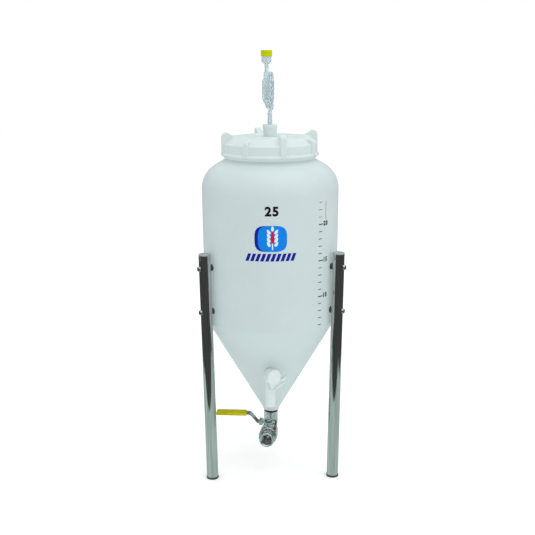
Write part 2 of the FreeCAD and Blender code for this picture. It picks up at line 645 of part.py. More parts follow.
def make_airlock_cap():
    body = new_body("AirlockCap")
    skirt = "cup_radius + running_gap"
    revolve(body, "Cap", [
        (skirt, "cap_foot"),
        ("cap_radius", "cap_foot"),
        ("cap_radius", "cap_top - 1"),
        ("cap_radius - 1", "cap_top"),
        ("0", "cap_top"),
        ("0", "cup_rim"),
        (skirt, "cup_rim"),
    ])
    doc.recompute()
    vent = new_sketch(body, "VentCircle", "XY_Plane", ("0", "0", "cap_top"))
    circle(vent, "vent_radius", ("vent_circle", "0"))
    holes = pad(body, "Vent", vent, "cap_top - cup_rim + 1", cut=True)
    doc.recompute()
    repeat_round(body, "Vents", [holes], 4)
    place(body, value("airlock_yaw"), value("chamber_pitch"))
    return keep(body, "airlock_cap")


# ---------------------------------------------------------------- legs and their fasteners

def place_on_leg(thing, azimuth):
    place(thing, azimuth, value("leg_foot_circle"), 0, value("leg_lean"))


def make_leg(side, azimuth):
    body = new_body("Leg" + side.title())
    revolve(body, "Tube", [
        ("leg_radius - leg_wall", "leg_low"), ("leg_radius", "leg_low"),
        ("leg_radius", "leg_high"), ("leg_radius - leg_wall", "leg_high")])
    doc.recompute()
    for name, height in (("LowHole", "bolt_low"), ("HighHole", "bolt_high")):
        sketch = new_sketch(body, name + "Circle", "YZ_Plane")
        circle(sketch, "bolt_hole + 0.3", ("0", height))
        pad(body, name, sketch, "4 * leg_radius", cut=True, both=True)
        doc.recompute()
    place_on_leg(body, azimuth)
    return keep(body, "leg_" + side)


def make_leg_plug(side, azimuth):
    body = new_body("Plug" + side.title())
    inside = "leg_radius - leg_wall"
    revolve(body, "Plug", [
        ("0", "leg_high - plug_length"), (f"{inside} - 1", "leg_high - plug_length"),
        (inside, "leg_high - plug_length + 2"),
        (inside, "leg_high"), ("leg_radius", "leg_high"),
        ("leg_radius", "leg_high + plug_thickness - 0.8"),
        ("leg_radius - 0.8", "leg_high + plug_thickness"), ("0", "leg_high + plug_thickness")])
    place_on_leg(body, azimuth)
    return keep(body, "end_plug_" + side)


def make_foot(side, azimuth):
    """A rubber foot plugged into a leg, cut level with the floor."""
    body = new_body("FootBlank" + side.title())
    inside = "leg_radius - leg_wall"
    revolve(body, "FootBlank", [
        ("0", "-1"), ("foot_radius - 1.2", "-1"), ("foot_radius", "foot_flare"),
        ("foot_radius", "leg_low"), (inside, "leg_low"), (inside, "leg_low + foot_stem - 2"),
        (f"{inside} - 1", "leg_low + foot_stem"), ("0", "leg_low + foot_stem")])
    place_on_leg(body, azimuth)
    floor = doc.addObject("Part::Box", "Floor" + side.title())
    for size_name, text in (("Length", "400"), ("Width", "400"), ("Height", "10")):
        bind(floor, size_name, text)
    floor.Placement = Placement(Vector(-200, -200, -10), Rotation())
    return keep(cut("Foot" + side.title(), body, floor), "foot_" + side)


def make_spacers():
    """Six rubber spacers, hollowed to the leg on one side and to the tank on the other."""
    rods, legs, cores = [], [], []
    for side, azimuth in LEG_AZIMUTHS.items():
        turn = Rotation(Vector(0, 0, 1), azimuth)
        outward = turn.multVec(Vector(1, 0, 0))
        for level in ("bolt_low", "bolt_high"):
            start = f"{wall_radius(level)} - 2 * tank_wall"
            base = turn.multVec(Vector(value(start), 0, value(level)))
            reach = f"{leg_distance(level)} - ({start})"
            name = f"{side.title()}{level.title().replace('_', '')}"
            rods.append(cylinder("Rod" + name, "spacer_radius", reach, base, outward))
            cores.append(cylinder("Bore" + name, "bolt_radius + 0.1", reach, base, outward))
        leg = cylinder("Core" + side.title(), "leg_radius", "leg_high + 50")
        place_on_leg(leg, azimuth)
        legs.append(leg)
    shell = cone("TankEnvelope", wall_radius("bolt_low - 30"), wall_radius("bolt_high + 30"),
                 "bolt_low - 30", "bolt_high + 30")
    tools = fuse("SpacerTools", legs + cores + [shell])
    return keep(cut("Spacers", fuse("SpacerRods", rods), tools), "leg_spacers")


def bolt_parts(name, label, features):
    """A node of six like pieces: each feature is made at both bolt heights, then three times."""
    body = new_body(name)
    made = []
    for level in ("bolt_low", "bolt_high"):
        for feature in features:
            made.append(feature(body, level))
            doc.recompute()
    repeat_round(body, name + "Round", made, 3)
    place(body, LEG_AZIMUTHS["rear"])
    return keep(body, label)


def level_name(level):
    return "Low" if level == "bolt_low" else "High"


def inner_wall(level):
    return f"({wall_radius(level)} - tank_wall)"


def seat(level):
    """Distance of a bolt head's underside from the tank's axis."""
    return f"({leg_distance(level)} + leg_radius + 0.2)"


def bolt_feature(body, level):
    end = f"{seat(level)} + bolt_head_depth"
    start = f"{inner_wall(level)} - bolt_end"
    return revolve(body, "Bolt" + level_name(level), [
        (start, "0"), (end, "0"), (f"{end} - 0.5", "bolt_head_radius - 2.4"),
        (f"{end} - 2.2", "bolt_head_radius"), (seat(level), "bolt_head_radius"),
        (seat(level), "bolt_radius"), (f"{start} + 0.8", "bolt_radius"), (start, "bolt_radius - 0.8"),
    ], axis="H_Axis", shift=("0", level, "0"))


def washer_feature(body, level):
    face = f"{inner_wall(level)} - washer_gap"
    back = f"{face} - washer_thickness"
    return revolve(body, "Seal" + level_name(level), [
        (back, "bolt_radius"), (face, "bolt_radius"), (face, "washer_radius"), (back, "washer_radius"),
    ], axis="H_Axis", shift=("0", level, "0"))


def nut_feature(body, level):
    start = f"{inner_wall(level)} - washer_gap - washer_thickness - nut_thickness - 0.2"
    sketch = new_sketch(body, "Hex" + level_name(level), "YZ_Plane", ("0", level, start))
    hexagon(sketch, "nut_flats")
    circle(sketch, "bolt_radius")
    return pad(body, "Nut" + level_name(level), sketch, "nut_thickness")


# ---------------------------------------------------------------- tap on the cone

def place_tap(thing):
    place(thing, value("tap_yaw"), 0, value("tap_height"))


def make_tap_seal():
    """Wedge-shaped rubber ring between the tap's flange and the cone."""
    yaw = Rotation(Vector(0, 0, 1), value("tap_yaw"))
    outward = yaw.multVec(Vector(1, 0, 0))
    start = outward * 50 + Vector(0, 0, value("tap_height"))
    ring = cylinder("TapSealBlank", "tap_seal_radius", "flange_distance - 50", start, outward)
    hole = cylinder("TapSealBore", "shank_radius", "flange_distance", start, outward)
    envelope = cone("ConeEnvelope", cone_radius("cone_foot"), cone_radius("waist_height"),
                    "cone_foot", "waist_height")
    return keep(cut("TapSeal", ring, fuse("TapSealTools", [hole, envelope])), "tap_seal")


def make_tap_inner_seal():
    """The matching wedge inside the cone, under the tap's lock nut."""
    yaw = Rotation(Vector(0, 0, 1), value("tap_yaw"))
    outward = yaw.multVec(Vector(1, 0, 0))
    start = outward * value("flange_distance - 30") + Vector(0, 0, value("tap_height"))
    ring = cylinder("InnerSealBlank", "inner_seal_radius", "shank_length", start, outward)
    hole = cylinder("InnerSealBore", "shank_radius", "shank_length + 20", start, outward)
    inside = cone("ConeInside", f"{cone_radius('cone_foot')} - {WALL_ACROSS}",
                  f"{cone_radius('waist_height')} - {WALL_ACROSS}", "cone_foot", "waist_height")
    wedge = doc.addObject("Part::Common", "InnerSealWedge")
    wedge.Base = ring
    wedge.Tool = inside
    return keep(cut("InnerSeal", wedge, hole), "tap_inner_seal")


def make_tap_locknut():
    body = new_body("TapLocknut")
    sketch = new_sketch(body, "NutFace", "YZ_Plane", ("0", "0", "flange_distance - shank_length + 3"))
    hexagon(sketch, "tap_nut_flats")
    circle(sketch, "shank_radius")
    pad(body, "Nut", sketch, "tap_nut_thickness")
    place_tap(body)
    return keep(body, "tap_locknut")


def make_tap_body():
    """Shank, flange, upright barrel with its spout, and the boss that carries the plug."""
    body = new_body("TapBody")
    shank_end, flange_front = "flange_distance - shank_length", "flange_distance + flange_thickness"
    revolve(body, "Shank", [
        (shank_end, "0"), ("barrel_distance", "0"), ("barrel_distance", "tap_neck_radius"),
        (flange_front, "tap_neck_radius"), (flange_front, "flange_radius"),
        ("flange_distance", "flange_radius"), ("flange_distance", "shank_radius"),
        (shank_end, "shank_radius")], axis="H_Axis")
    doc.recompute()
    spout = "spout_height - tap_height"
    revolve(body, "Barrel", [
        ("0", spout), ("spout_radius", spout), ("spout_radius", f"{spout} + spout_length"),
        ("barrel_radius", f"{spout} + spout_length + 6"), ("barrel_radius", "barrel_top - 7.5", "9"),
        ("barrel_radius - 8", "barrel_top"), ("0", "barrel_top")], shift=("barrel_distance", "0", "0"))
    doc.recompute()
    # the boss and the plug's bore lie along the knob's axis, which is turned from the shank
    boss_plane = Rotation(Vector(0, 1, 0), value("knob_yaw"))
    front = new_sketch(body, "BossCircle", "YZ_Plane", ("0", "0", "0"))
    turn_about_barrel(front, boss_plane)
    circle(front, "knob_radius - 1")
    pad(body, "Boss", front, "knob_back - 0.2")
    doc.recompute()
    bore = new_sketch(body, "PlugBoreCircle", "YZ_Plane", ("0", "0", "0"))
    turn_about_barrel(bore, boss_plane, -value("tap_plug_rear") - 0.4)
    circle(bore, "tap_plug_radius + running_gap")
    pad(body, "PlugBore", bore, "25", cut=True, back=True)
    doc.recompute()
    revolve(body, "Inlet", [
        (f"{shank_end} - 1", "0"), ("barrel_distance", "0"), ("barrel_distance", "shank_bore"),
        (f"{shank_end} - 1", "shank_bore")], axis="H_Axis", cut=True)
    doc.recompute()
    revolve(body, "Outlet", [
        ("0", f"{spout} - 1"), ("spout_radius - spout_wall", f"{spout} - 1"),
        ("spout_radius - spout_wall", "-16"), ("6", "-12"), ("6", "-4"), ("0", "-4")],
        cut=True, shift=("barrel_distance", "0", "0"))
    place_tap(body)
    return keep(body, "tap_body")


def turn_about_barrel(sketch, turn, back=0):
    """Face a YZ sketch along the knob's axis, through the spout's axis."""
    out = turn.multVec(Vector(0, 0, 1))
    base = Vector(0, 0, value("barrel_distance")) + out * back
    for letter in "xyz":
        sketch.setExpression(f"AttachmentOffset.Base.{letter}", None)
    sketch.AttachmentOffset = Placement(base, turn)


def knob_frame(thing):
    """Put a piece on the knob's axis: its own X points out of the knob, its own Z up."""
    yaw = value("tap_yaw")
    out = Vector(value("barrel_distance"), 0, value("tap_height"))
    base = Rotation(Vector(0, 0, 1), yaw).multVec(out)
    thing.Placement = Placement(base, Rotation(Vector(0, 0, 1), yaw + value("knob_yaw")))


def make_tap_plug():
    body = new_body("TapPlug")
    revolve(body, "Plug", [
        ("-tap_plug_rear", "0"), ("knob_back", "0"), ("knob_back", "tap_plug_radius"),
        ("-tap_plug_rear", "tap_plug_radius")], axis="H_Axis")
    doc.recompute()
    port = new_sketch(body, "PortCircle", "XZ_Plane")
    circle(port, "port_radius")
    pad(body, "Port", port, "5 * tap_plug_radius", cut=True, both=True)
    knob_frame(body)
    return keep(body, "tap_plug")


def make_tap_knob():
    """Round knob with a fan-shaped thumb lever that carries two raised rims."""
    body = new_body("TapKnob")
    revolve(body, "Knob", [
        ("knob_back", "0"), ("knob_back", "knob_radius"),
        ("knob_face - knob_rounding", "knob_radius", "-knob_rounding"),
        ("knob_face", "knob_radius - knob_rounding"), ("knob_face", "0")], axis="H_Axis")
    doc.recompute()
    plate = new_sketch(body, "LeverPlate", "YZ_Plane", ("0", "0", "knob_back"))
    outline(plate, LEVER_OUTLINE)
    pad(body, "Plate", plate, "lever_sheet")
    doc.recompute()
    for name, first, second in (("UpperRim", 0, 1), ("LowerRim", 3, 2)):
        rim = new_sketch(body, name + "Strip", "YZ_Plane", ("0", "0", "knob_back"))
        outline(rim, rim_strip(LEVER_OUTLINE[first], LEVER_OUTLINE[second], name == "UpperRim"))
        pad(body, name, rim, "rim_depth")
        doc.recompute()
    knob_frame(body)
    return keep(body, "tap_knob")


# corners of the thumb lever seen from the front: root top, tip top, tip bottom, root bottom
LEVER_OUTLINE = [("2", "-12.5"), ("32.5", "0"), ("27.5", "-14.5"), ("-5.5", "-31"), ("-10.5", "-11.5")]


def rim_strip(start, stop, upper):
    """A rim along one side of the thumb lever, on its inner side."""
    first = Vector(value(start[0]), value(start[1]), 0)
    last = Vector(value(stop[0]), value(stop[1]), 0)
    along = (last - first).normalize()
    inward = Vector(along.y, -along.x, 0) if upper else Vector(-along.y, along.x, 0)
    inward *= value("rim_wall")
    corners = [first, last, last + inward, first + inward]
    return [(str(round(corner.x, 4)), str(round(corner.y, 4))) for corner in corners]


# ---------------------------------------------------------------- drain elbow and ball valve

def place_drain(thing):
    """The drain's frame: X along the flow, Z up, origin below the tank at the bore's height."""
    place(thing, value("valve_yaw"), 0, value("flow_height"))


def place_valve(thing, turn=0.0):
    """The valve's frame: as the drain's, with its origin at the centre of the ball."""
    place_drain(thing)
    out = Rotation(Vector(0, 0, 1), value("valve_yaw")).multVec(Vector(value("valve_distance"), 0, 0))
    base = thing.Placement.Base + out
    thing.Placement = Placement(base, Rotation(Vector(0, 0, 1), value("valve_yaw") + turn))


def make_drain_gasket():
    body = new_body("DrainGasket")
    low = "outlet_height - drain_gasket_depth"
    revolve(body, "Ring", [
        ("pipe_thread_radius", low), ("drain_gasket_radius - 0.4", low),
        ("drain_gasket_radius", f"{low} + drain_gasket_depth / 2"),
        ("drain_gasket_radius - 0.4", "outlet_height"), ("pipe_thread_radius", "outlet_height")])
    return keep(body, "drain_gasket")


def make_drain_seal():
    """Tapered rubber seal inside the tip of the cone, under the lock nut."""
    body = new_body("DrainSeal")
    low, high = "cone_foot + drain_seal_low", "cone_foot + drain_seal_high"
    revolve(body, "Seal", [
        ("pipe_thread_radius", low), (f"{cone_radius(low)} - {WALL_ACROSS}", low),
        (f"{cone_radius(high)} - {WALL_ACROSS}", high), ("pipe_thread_radius", high)])
    return keep(body, "drain_seal")


def make_drain_locknut():
    body = new_body("DrainLocknut")
    face = new_sketch(body, "NutFace", "XY_Plane", ("0", "0", "cone_foot + drain_seal_high"))
    hexagon(face, "drain_nut_flats")
    circle(face, "pipe_thread_radius")
    pad(body, "Nut", face, "drain_nut_thickness")
    return keep(body, "drain_locknut")


def make_drain_elbow():
    """Elbow with two male ends: up through the tank's outlet, and forward into the valve."""
    body = new_body("DrainElbow")
    top = "cone_foot + nipple_reach - flow_height"
    shoulder = "outlet_height - drain_gasket_depth - flow_height"
    front = "valve_distance - valve_rear"
    runs = (("Threads", top, f"{front} + nipple_depth", "pipe_thread_radius", False),
            ("Elbow", shoulder, front, "elbow_radius", False),
            ("Bore", f"{top} + 1", f"{front} + nipple_depth + 1", "pipe_bore", True))
    for name, high, forward, radius, cutting in runs:
        path = [("0", high), ("0", "elbow_bend", "elbow_bend"), ("elbow_bend", "0"), (forward, "0")]
        pipe(body, name, path, radius, ("0", "0", high), cut=cutting)
        doc.recompute()
    place_drain(body)
    return keep(body, "drain_elbow")


def make_valve_body():
    """Casting round the ball, with a socket for the elbow and a boss for the stem."""
    body = new_body("ValveBody")
    socket = "pipe_thread_radius + running_gap"
    revolve(body, "Casting", [
        ("-valve_rear", socket), ("-body_socket", socket), ("-body_socket", "pipe_bore"),
        ("-seat_back", "pipe_bore"), ("-seat_back", "seat_radius"), ("-cap_joint", "seat_radius"),
        ("-cap_joint", "cavity_radius"), ("barrel_end", "cavity_radius"),
        ("barrel_end", "barrel_outside - 1"), ("barrel_end - 1", "barrel_outside"),
        ("-10", "barrel_outside", "6"), ("-15", "waist_outside + 0.4"), ("-19", "waist_outside"),
        ("-19.5", "collar_outside"), ("-valve_rear + 1", "collar_outside"),
        ("-valve_rear", "collar_outside - 1")], axis="H_Axis")
    doc.recompute()
    boss = new_sketch(body, "BonnetCircle", "XY_Plane", ("0", "0", "bonnet_foot"))
    circle(boss, "bonnet_radius")
    pad(body, "Bonnet", boss, "bonnet_height")
    doc.recompute()
    stops = new_sketch(body, "StopPad", "XY_Plane", ("0", "0", "bonnet_foot"))
    outline(stops, [("-8", "-11"), ("4", "-11"), ("4", "11"), ("-8", "11")])
    pad(body, "Shelf", stops, "bonnet_height - 1.5")
    doc.recompute()
    bore = new_sketch(body, "StemBoreCircle", "XY_Plane", ("0", "0", "10"))
    circle(bore, "valve_stem_radius + running_gap")
    pad(body, "StemBore", bore, "20", cut=True, back=True)
    doc.recompute()
    chamber = new_sketch(body, "PackingCircle", "XY_Plane", ("0", "0", "packing_foot"))
    circle(chamber, "packing_radius")
    pad(body, "PackingChamber", chamber, "20", cut=True, back=True)
    place_valve(body)
    return keep(body, "valve_body")


def make_valve_end_cap():
    """The valve's front: a hexagon, and the threaded outlet with its lip."""
    body = new_body("ValveEndCap")
    hexagon_end = "barrel_end + cap_hexagon_length"
    revolve(body, "Cap", [
        ("cap_joint", "seat_radius"), ("seat_back", "seat_radius"), ("seat_back", "pipe_bore"),
        ("cap_socket", "pipe_bore"), ("cap_socket", "outlet_thread_radius"),
        ("valve_front - 1", "outlet_thread_radius"), ("valve_front", "outlet_thread_radius + 1.1"),
        ("valve_front", "cap_lip - 1"), ("valve_front - 1", "cap_lip"),
        (f"{hexagon_end} + 1", "cap_lip"), (hexagon_end, "cap_neck"), ("barrel_end", "cap_neck"),
        ("cap_joint", "cap_neck")], axis="H_Axis")
    doc.recompute()
    collar = new_sketch(body, "HexFace", "YZ_Plane", ("0", "0", "barrel_end"))
    hexagon(collar, "cap_hexagon")
    pad(body, "Hex", collar, "cap_hexagon_length")
    doc.recompute()
    bore = new_sketch(body, "BoreCircle", "YZ_Plane", ("0", "0", "barrel_end"))
    circle(bore, "pipe_bore")
    pad(body, "Bore", bore, "20", cut=True, back=True)
    doc.recompute()
    revolve(body, "Socket", [
        ("cap_socket", "0"), ("valve_front + 1", "0"), ("valve_front + 1", "outlet_thread_radius"),
        ("cap_socket", "outlet_thread_radius")], axis="H_Axis", cut=True)
    doc.recompute()
    revolve(body, "SeatPocket", [
        ("cap_joint - 1", "0"), ("seat_back", "0"), ("seat_back", "seat_radius"),
        ("cap_joint - 1", "seat_radius")], axis="H_Axis", cut=True)
    place_valve(body)
    return keep(body, "valve_end_cap")


def make_valve_seats():
    """Two plastic rings with hollowed faces that hold the ball."""
    body = new_body("ValveSeats")
    hollow = "(ball_radius + running_gap)"
    inner_x = f"sqrt({hollow} ^ 2 - (pipe_bore + 0.1) ^ 2)"
    outer_r = f"sqrt({hollow} ^ 2 - cap_joint ^ 2)"
    for name, side in (("Rear", "-1"), ("Front", "1")):
        revolve(body, name + "Seat", [
            (f"seat_back * ({side})", "pipe_bore + 0.1"), (f"seat_back * ({side})", "seat_radius"),
            (f"cap_joint * ({side})", "seat_radius"),
            (f"cap_joint * ({side})", outer_r, hollow if side == "-1" else f"-{hollow}"),
            (f"{inner_x} * ({side})", "pipe_bore + 0.1")], axis="H_Axis")
        doc.recompute()
    place_valve(body)
    return keep(body, "valve_seats")


def make_valve_ball():
    body = new_body("ValveBall")
    chord = "sqrt(ball_radius ^ 2 - pipe_bore ^ 2)"
    revolve(body, "Ball", [
        (f"-({chord})", "pipe_bore"), (chord, "pipe_bore", "ball_radius"),
        ("0", "ball_radius", "ball_radius")], axis="H_Axis")
    doc.recompute()
    slot = new_sketch(body, "SlotFace", "XY_Plane", ("0", "0", "slot_foot"))
    outline(slot, box("ball_radius + 5", "slot_width / 2"))
    pad(body, "Slot", slot, "10", cut=True, back=True)
    place_valve(body, 90)
    return keep(body, "valve_ball")


def make_valve_stem():
    body = new_body("ValveStem")
    revolve(body, "Stem", [
        ("0", "stem_low"), ("valve_stem_radius", "stem_low"),
        ("valve_stem_radius", "lever_height + lever_plate"),
        ("stem_thread_radius", "lever_height + lever_plate"), ("stem_thread_radius", "stem_top - 1"),
        ("stem_thread_radius - 0.8", "stem_top"), ("0", "stem_top")])
    doc.recompute()
    tang = new_sketch(body, "TangFace", "XY_Plane", ("0", "0", "tang_foot"))
    outline(tang, box("tang_length / 2", "tang_width / 2"))
    pad(body, "Tang", tang, "stem_low - tang_foot + 0.9")
    place_valve(body, 90)
    return keep(body, "valve_stem")


def make_stem_packing():
    body = new_body("StemPacking")
    inside, outside = "valve_stem_radius + running_gap", "packing_radius - running_gap"
    revolve(body, "Ring", [(inside, "packing_foot"), (outside, "packing_foot"),
                           (outside, "packing_top"), (inside, "packing_top")])
    place_valve(body)
    return keep(body, "stem_packing")


def nut_on_stem(name, label, flats, low, thickness, inside):
    body = new_body(name)
    face = new_sketch(body, name + "Face", "XY_Plane", ("0", "0", low))
    hexagon(face, flats)
    circle(face, inside)
    pad(body, name + "Hex", face, thickness)
    place_valve(body, 15)
    return keep(body, label)


def make_valve_lever():
    """Steel strip with a round hub, a rising neck and a flat end under the grip.
    In its own frame the strip runs along X, and the stem is at the origin."""
    body = new_body("ValveLever")
    side = new_sketch(body, "LeverSide")
    low, high = "lever_height", "lever_height + lever_rise"
    outline(side, [
        ("0", low), ("bend_start", low), ("bend_end", high), ("lever_reach", high),
        ("lever_reach", f"{high} + lever_plate"), ("bend_end - 0.7", f"{high} + lever_plate"),
        ("bend_start - 0.7", f"{low} + lever_plate"), ("0", f"{low} + lever_plate")])
    pad(body, "Strip", side, "lever_width", both=True)
    doc.recompute()
    hub = new_sketch(body, "HubCircle", "XY_Plane", ("0", "0", low))
    circle(hub, "hub_radius")
    pad(body, "Hub", hub, "lever_plate")
    doc.recompute()
    eye = new_sketch(body, "EyeCircle", "XY_Plane", ("0", "0", f"{low} - 1"))
    circle(eye, "valve_stem_radius")
    pad(body, "Eye", eye, "lever_plate + 2", cut=True, back=True)
    place_valve(body, value("lever_turn"))
    return keep(body, "valve_lever")


def make_lever_grip():
    body = new_body("LeverGrip")
    centre = "lever_height + lever_rise + lever_plate / 2"
    face = new_sketch(body, "GripFace", "YZ_Plane", ("0", centre, "grip_start"))
    outline(face, rounded_box("grip_width / 2", "grip_thickness / 2", "grip_corner"))
    pad(body, "Grip", face, "grip_end - grip_start")
    doc.recompute()
    slot = new_sketch(body, "GripSlot", "YZ_Plane", ("0", centre, "grip_start"))
    outline(slot, box("lever_width / 2", "lever_plate / 2"))
    pad(body, "Slot", slot, "lever_reach - grip_start", cut=True, back=True)
    place_valve(body, value("lever_turn"))
    return keep(body, "lever_grip")


def box(half_width, half_height):
    return [(f"-({half_width})", f"-({half_height})"), (half_width, f"-({half_height})"),
            (half_width, half_height), (f"-({half_width})", half_height)]


def rounded_box(half_width, half_height, corner):
    """A rectangle round the origin with rounded corners."""
    corners = []
    for right, up in ((1, -1), (1, 1), (-1, 1), (-1, -1)):
        near_x, near_y = f"({half_width} - {corner}) * {right}", f"({half_height} - {corner}) * {up}"
        far_x, far_y = f"{half_width} * {right}", f"{half_height} * {up}"
        first, last = (near_x, far_y), (far_x, near_y)
        if right * up > 0:
            first, last = last, first
        corners += [(first[0], first[1], corner), last]
    return corners


def make_lever_lock():
    """Steel sleeve that slides along the flat of the lever, beside the hub."""
    body = new_body("LeverLock")
    centre = "lever_height + lever_plate / 2"
    face = new_sketch(body, "LockFace", "YZ_Plane", ("0", centre, "lock_start"))
    outline(face, box("(lever_width / 2 + lock_side)", "(lever_plate / 2 + lock_cover)"))
    outline_hole(face, box("(lever_width / 2 + lock_gap)", "(lever_plate / 2 + lock_gap)"))
    pad(body, "Lock", face, "lock_length")
    place_valve(body, value("lever_turn"))
    return keep(body, "lever_lock")


def outline_hole(sketch, corners):
    """A second closed outline, inside the first, in the same sketch."""
    first = sketch.GeometryCount
    points = [Vector(value(corner[0]), value(corner[1]), 0) for corner in corners]
    for index, start in enumerate(points):
        sketch.addGeometry(Part.LineSegment(start, points[(index + 1) % len(points)]), False)
    for index, corner in enumerate(corners):
        following = first + (index + 1) % len(corners)
        sketch.addConstraint(Sketcher.Constraint("Coincident", first + index, 2, following, 1))
        pin_point(sketch, first + index, 1, corner)


# ---------------------------------------------------------------- the whole object

make_tank()
make_lid()
make_lid_gasket()
make_bung()
make_airlock_body()
make_airlock_cap()
for side, azimuth in LEG_AZIMUTHS.items():
    make_leg(side, azimuth)
    make_leg_plug(side, azimuth)
    make_foot(side, azimuth)
make_spacers()
bolt_parts("LegBolts", "leg_bolts", [bolt_feature])
bolt_parts("LegSeals", "leg_seal_washers", [washer_feature])
bolt_parts("LegNuts", "leg_nuts", [nut_feature])
make_tap_seal()
make_tap_inner_seal()
make_tap_locknut()
make_tap_body()
make_tap_plug()
make_tap_knob()
make_drain_gasket()
make_drain_seal()
make_drain_locknut()
make_drain_elbow()
make_valve_body()
make_valve_end_cap()
make_valve_seats()
make_valve_ball()
make_valve_stem()
make_stem_packing()
nut_on_stem("GlandNut", "gland_nut", "gland_flats", "gland_foot", "gland_thickness",
            "valve_stem_radius + running_gap")
nut_on_stem("LeverNut", "lever_nut", "lever_nut_flats", "lever_height + lever_plate",
            "lever_nut_thickness", "stem_thread_radius")
make_valve_lever()
make_lever_grip()
make_lever_lock()
doc.recompute()

for thing in doc.Objects:
    if "Invalid" in thing.State or "Error" in thing.State:
        raise RuntimeError(f"{thing.Label} did not compute: {thing.State}")
os.makedirs("parts", exist_ok=True)
for node in nodes:
    if node.Shape.isNull() or not node.Shape.isValid():
        raise RuntimeError(f"{node.Label} has no valid shape")
for node in nodes:
    node.Shape.exportStep(f"parts/{node.Label}.step")
    box_size = node.Shape.BoundBox
    print(f"{node.Label}: {len(node.Shape.Solids)} solid(s), {node.Shape.Volume:.0f} mm3, "
          f"{box_size.XLength:.1f} x {box_size.YLength:.1f} x {box_size.ZLength:.1f}")
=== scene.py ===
"""Looks of the conical fermenter: tank, lid, airlock, legs, tap and drain valve round the CAD frame.

Lengths are millimetres and angles are degrees, up to piece(), which makes an object in metres. The
lights and the camera are placed in metres.
"""

import json
from math import atan2, cos, hypot, pi, radians, sin, tan

import bmesh
import bpy
from mathutils import Matrix, Vector


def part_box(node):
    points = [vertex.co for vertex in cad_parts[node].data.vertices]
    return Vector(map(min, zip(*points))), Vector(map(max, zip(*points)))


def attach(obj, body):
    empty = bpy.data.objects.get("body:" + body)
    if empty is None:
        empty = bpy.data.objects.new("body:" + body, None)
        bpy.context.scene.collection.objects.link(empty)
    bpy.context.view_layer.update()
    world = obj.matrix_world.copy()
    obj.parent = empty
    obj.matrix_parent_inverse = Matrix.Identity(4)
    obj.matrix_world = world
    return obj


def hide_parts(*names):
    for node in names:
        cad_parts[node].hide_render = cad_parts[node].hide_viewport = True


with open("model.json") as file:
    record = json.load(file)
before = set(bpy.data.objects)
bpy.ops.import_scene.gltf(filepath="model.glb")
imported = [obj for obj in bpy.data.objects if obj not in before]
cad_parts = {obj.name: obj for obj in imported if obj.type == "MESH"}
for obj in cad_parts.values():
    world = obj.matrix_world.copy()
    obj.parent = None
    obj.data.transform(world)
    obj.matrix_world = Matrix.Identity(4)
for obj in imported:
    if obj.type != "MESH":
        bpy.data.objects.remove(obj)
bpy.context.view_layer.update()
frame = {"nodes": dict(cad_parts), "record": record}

MM = 0.001
NODES = frame["nodes"]
SLOT_OF = {part["node"]: part["material_slot"] for part in frame["record"]["subparts"]}


# ---------------------------------------------------------------- sizes

def span(node):
    """Lowest and highest corner of a CAD node in millimetres."""
    low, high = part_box(node)
    return low / MM, high / MM


TANK_LOW, TANK_HIGH = span("tank")
BUNG_LOW, BUNG_HIGH = span("bung")
CAP_LOW, CAP_HIGH = span("airlock_cap")
GASKET_LOW, GASKET_HIGH = span("drain_gasket")

# Tank
WALL = 3.0
TANK_RADIUS = TANK_HIGH.x
OUTLET_LOW = TANK_LOW.z
RIM_HEIGHT = TANK_HIGH.z
OUTLET_RADIUS = 13.5
COLLAR_RADIUS = 18.0
CONE_FOOT = OUTLET_LOW + 3.8
WAIST_RADIUS, WAIST_HEIGHT = 144.8, 351.0
SHOULDER_RADIUS, SHOULDER_HEIGHT, SHOULDER_TURN = 59.3, 636.2, 60.0
NECK_RADIUS = 94.25
NECK_THREAD = {"depth": 2.35, "root": 3.2, "crest": 1.6, "pitch": 8.0, "turns": 1.25, "height": 711.0}

# Bung and airlock cap
BUNG_BORE, BUNG_FOOT, BUNG_HEAD = 4.95, 12.83, 15.65
AIRLOCK_YAW, CHAMBER_PITCH = -110.0, 18.6
CAP_RADIUS, CAP_SKIRT, CAP_UNDERSIDE = 11.75, 10.3, 924.3
VENT_RADIUS, VENT_DISTANCE = 0.8, 4.5

# Print on the tank
INK_LOW, INK_HIGH, INK_LAYER = -0.15, 0.15, 0.1
SCALE_AZIMUTH = -46.8
LITRE = 15.43
LITRE_HEIGHT = {mark: 358.5 + (mark - 6) * LITRE for mark in range(6, 24)}
TICK, LONG_TICK, RED_TICK = (9.5, 1.4), (14, 2.0), (9.5, 1.2)
CAPACITY_AZIMUTH, CAPACITY_HEIGHT = -88.8, 609.0
EMBLEM_AZIMUTH, EMBLEM_HEIGHT, BLOCKS_HEIGHT = -89.7, 552.5, 513.5
BADGE_SHIFT, BADGE_HALF = 3.5, (30, 27)
GRAIN_ROWS, GRAIN_PITCH = 4, 8.5
BLOCK_COUNT, BLOCK_PITCH, BLOCK_WIDTH, BLOCK_RISE, BLOCK_SLANT = 10, 10.45, 7, 8, 3.0

# Legs
LEG_AZIMUTHS = {"left": 211.8, "right": -28.2, "rear": 91.8}
LEG_RADIUS, LEG_WALL = 12.7, 1.5
LEG_FOOT_CIRCLE, LEG_LEAN = 153.7, 1.1
LEG_LOW, LEG_HIGH = 4.5, 507.0
PLUG_CAP, PLUG_DEPTH = 2.5, 14
FOOT_RADIUS, FOOT_GROUND, FOOT_DEPTH = 13.6, 0.3, 18
BOLT_HEIGHTS = (382.6, 478.0)
BOLT_RADIUS, HEAD_RADIUS, HEAD_HEIGHT, SOCKET_RADIUS = 3, 5.8, 4.5, 3.6

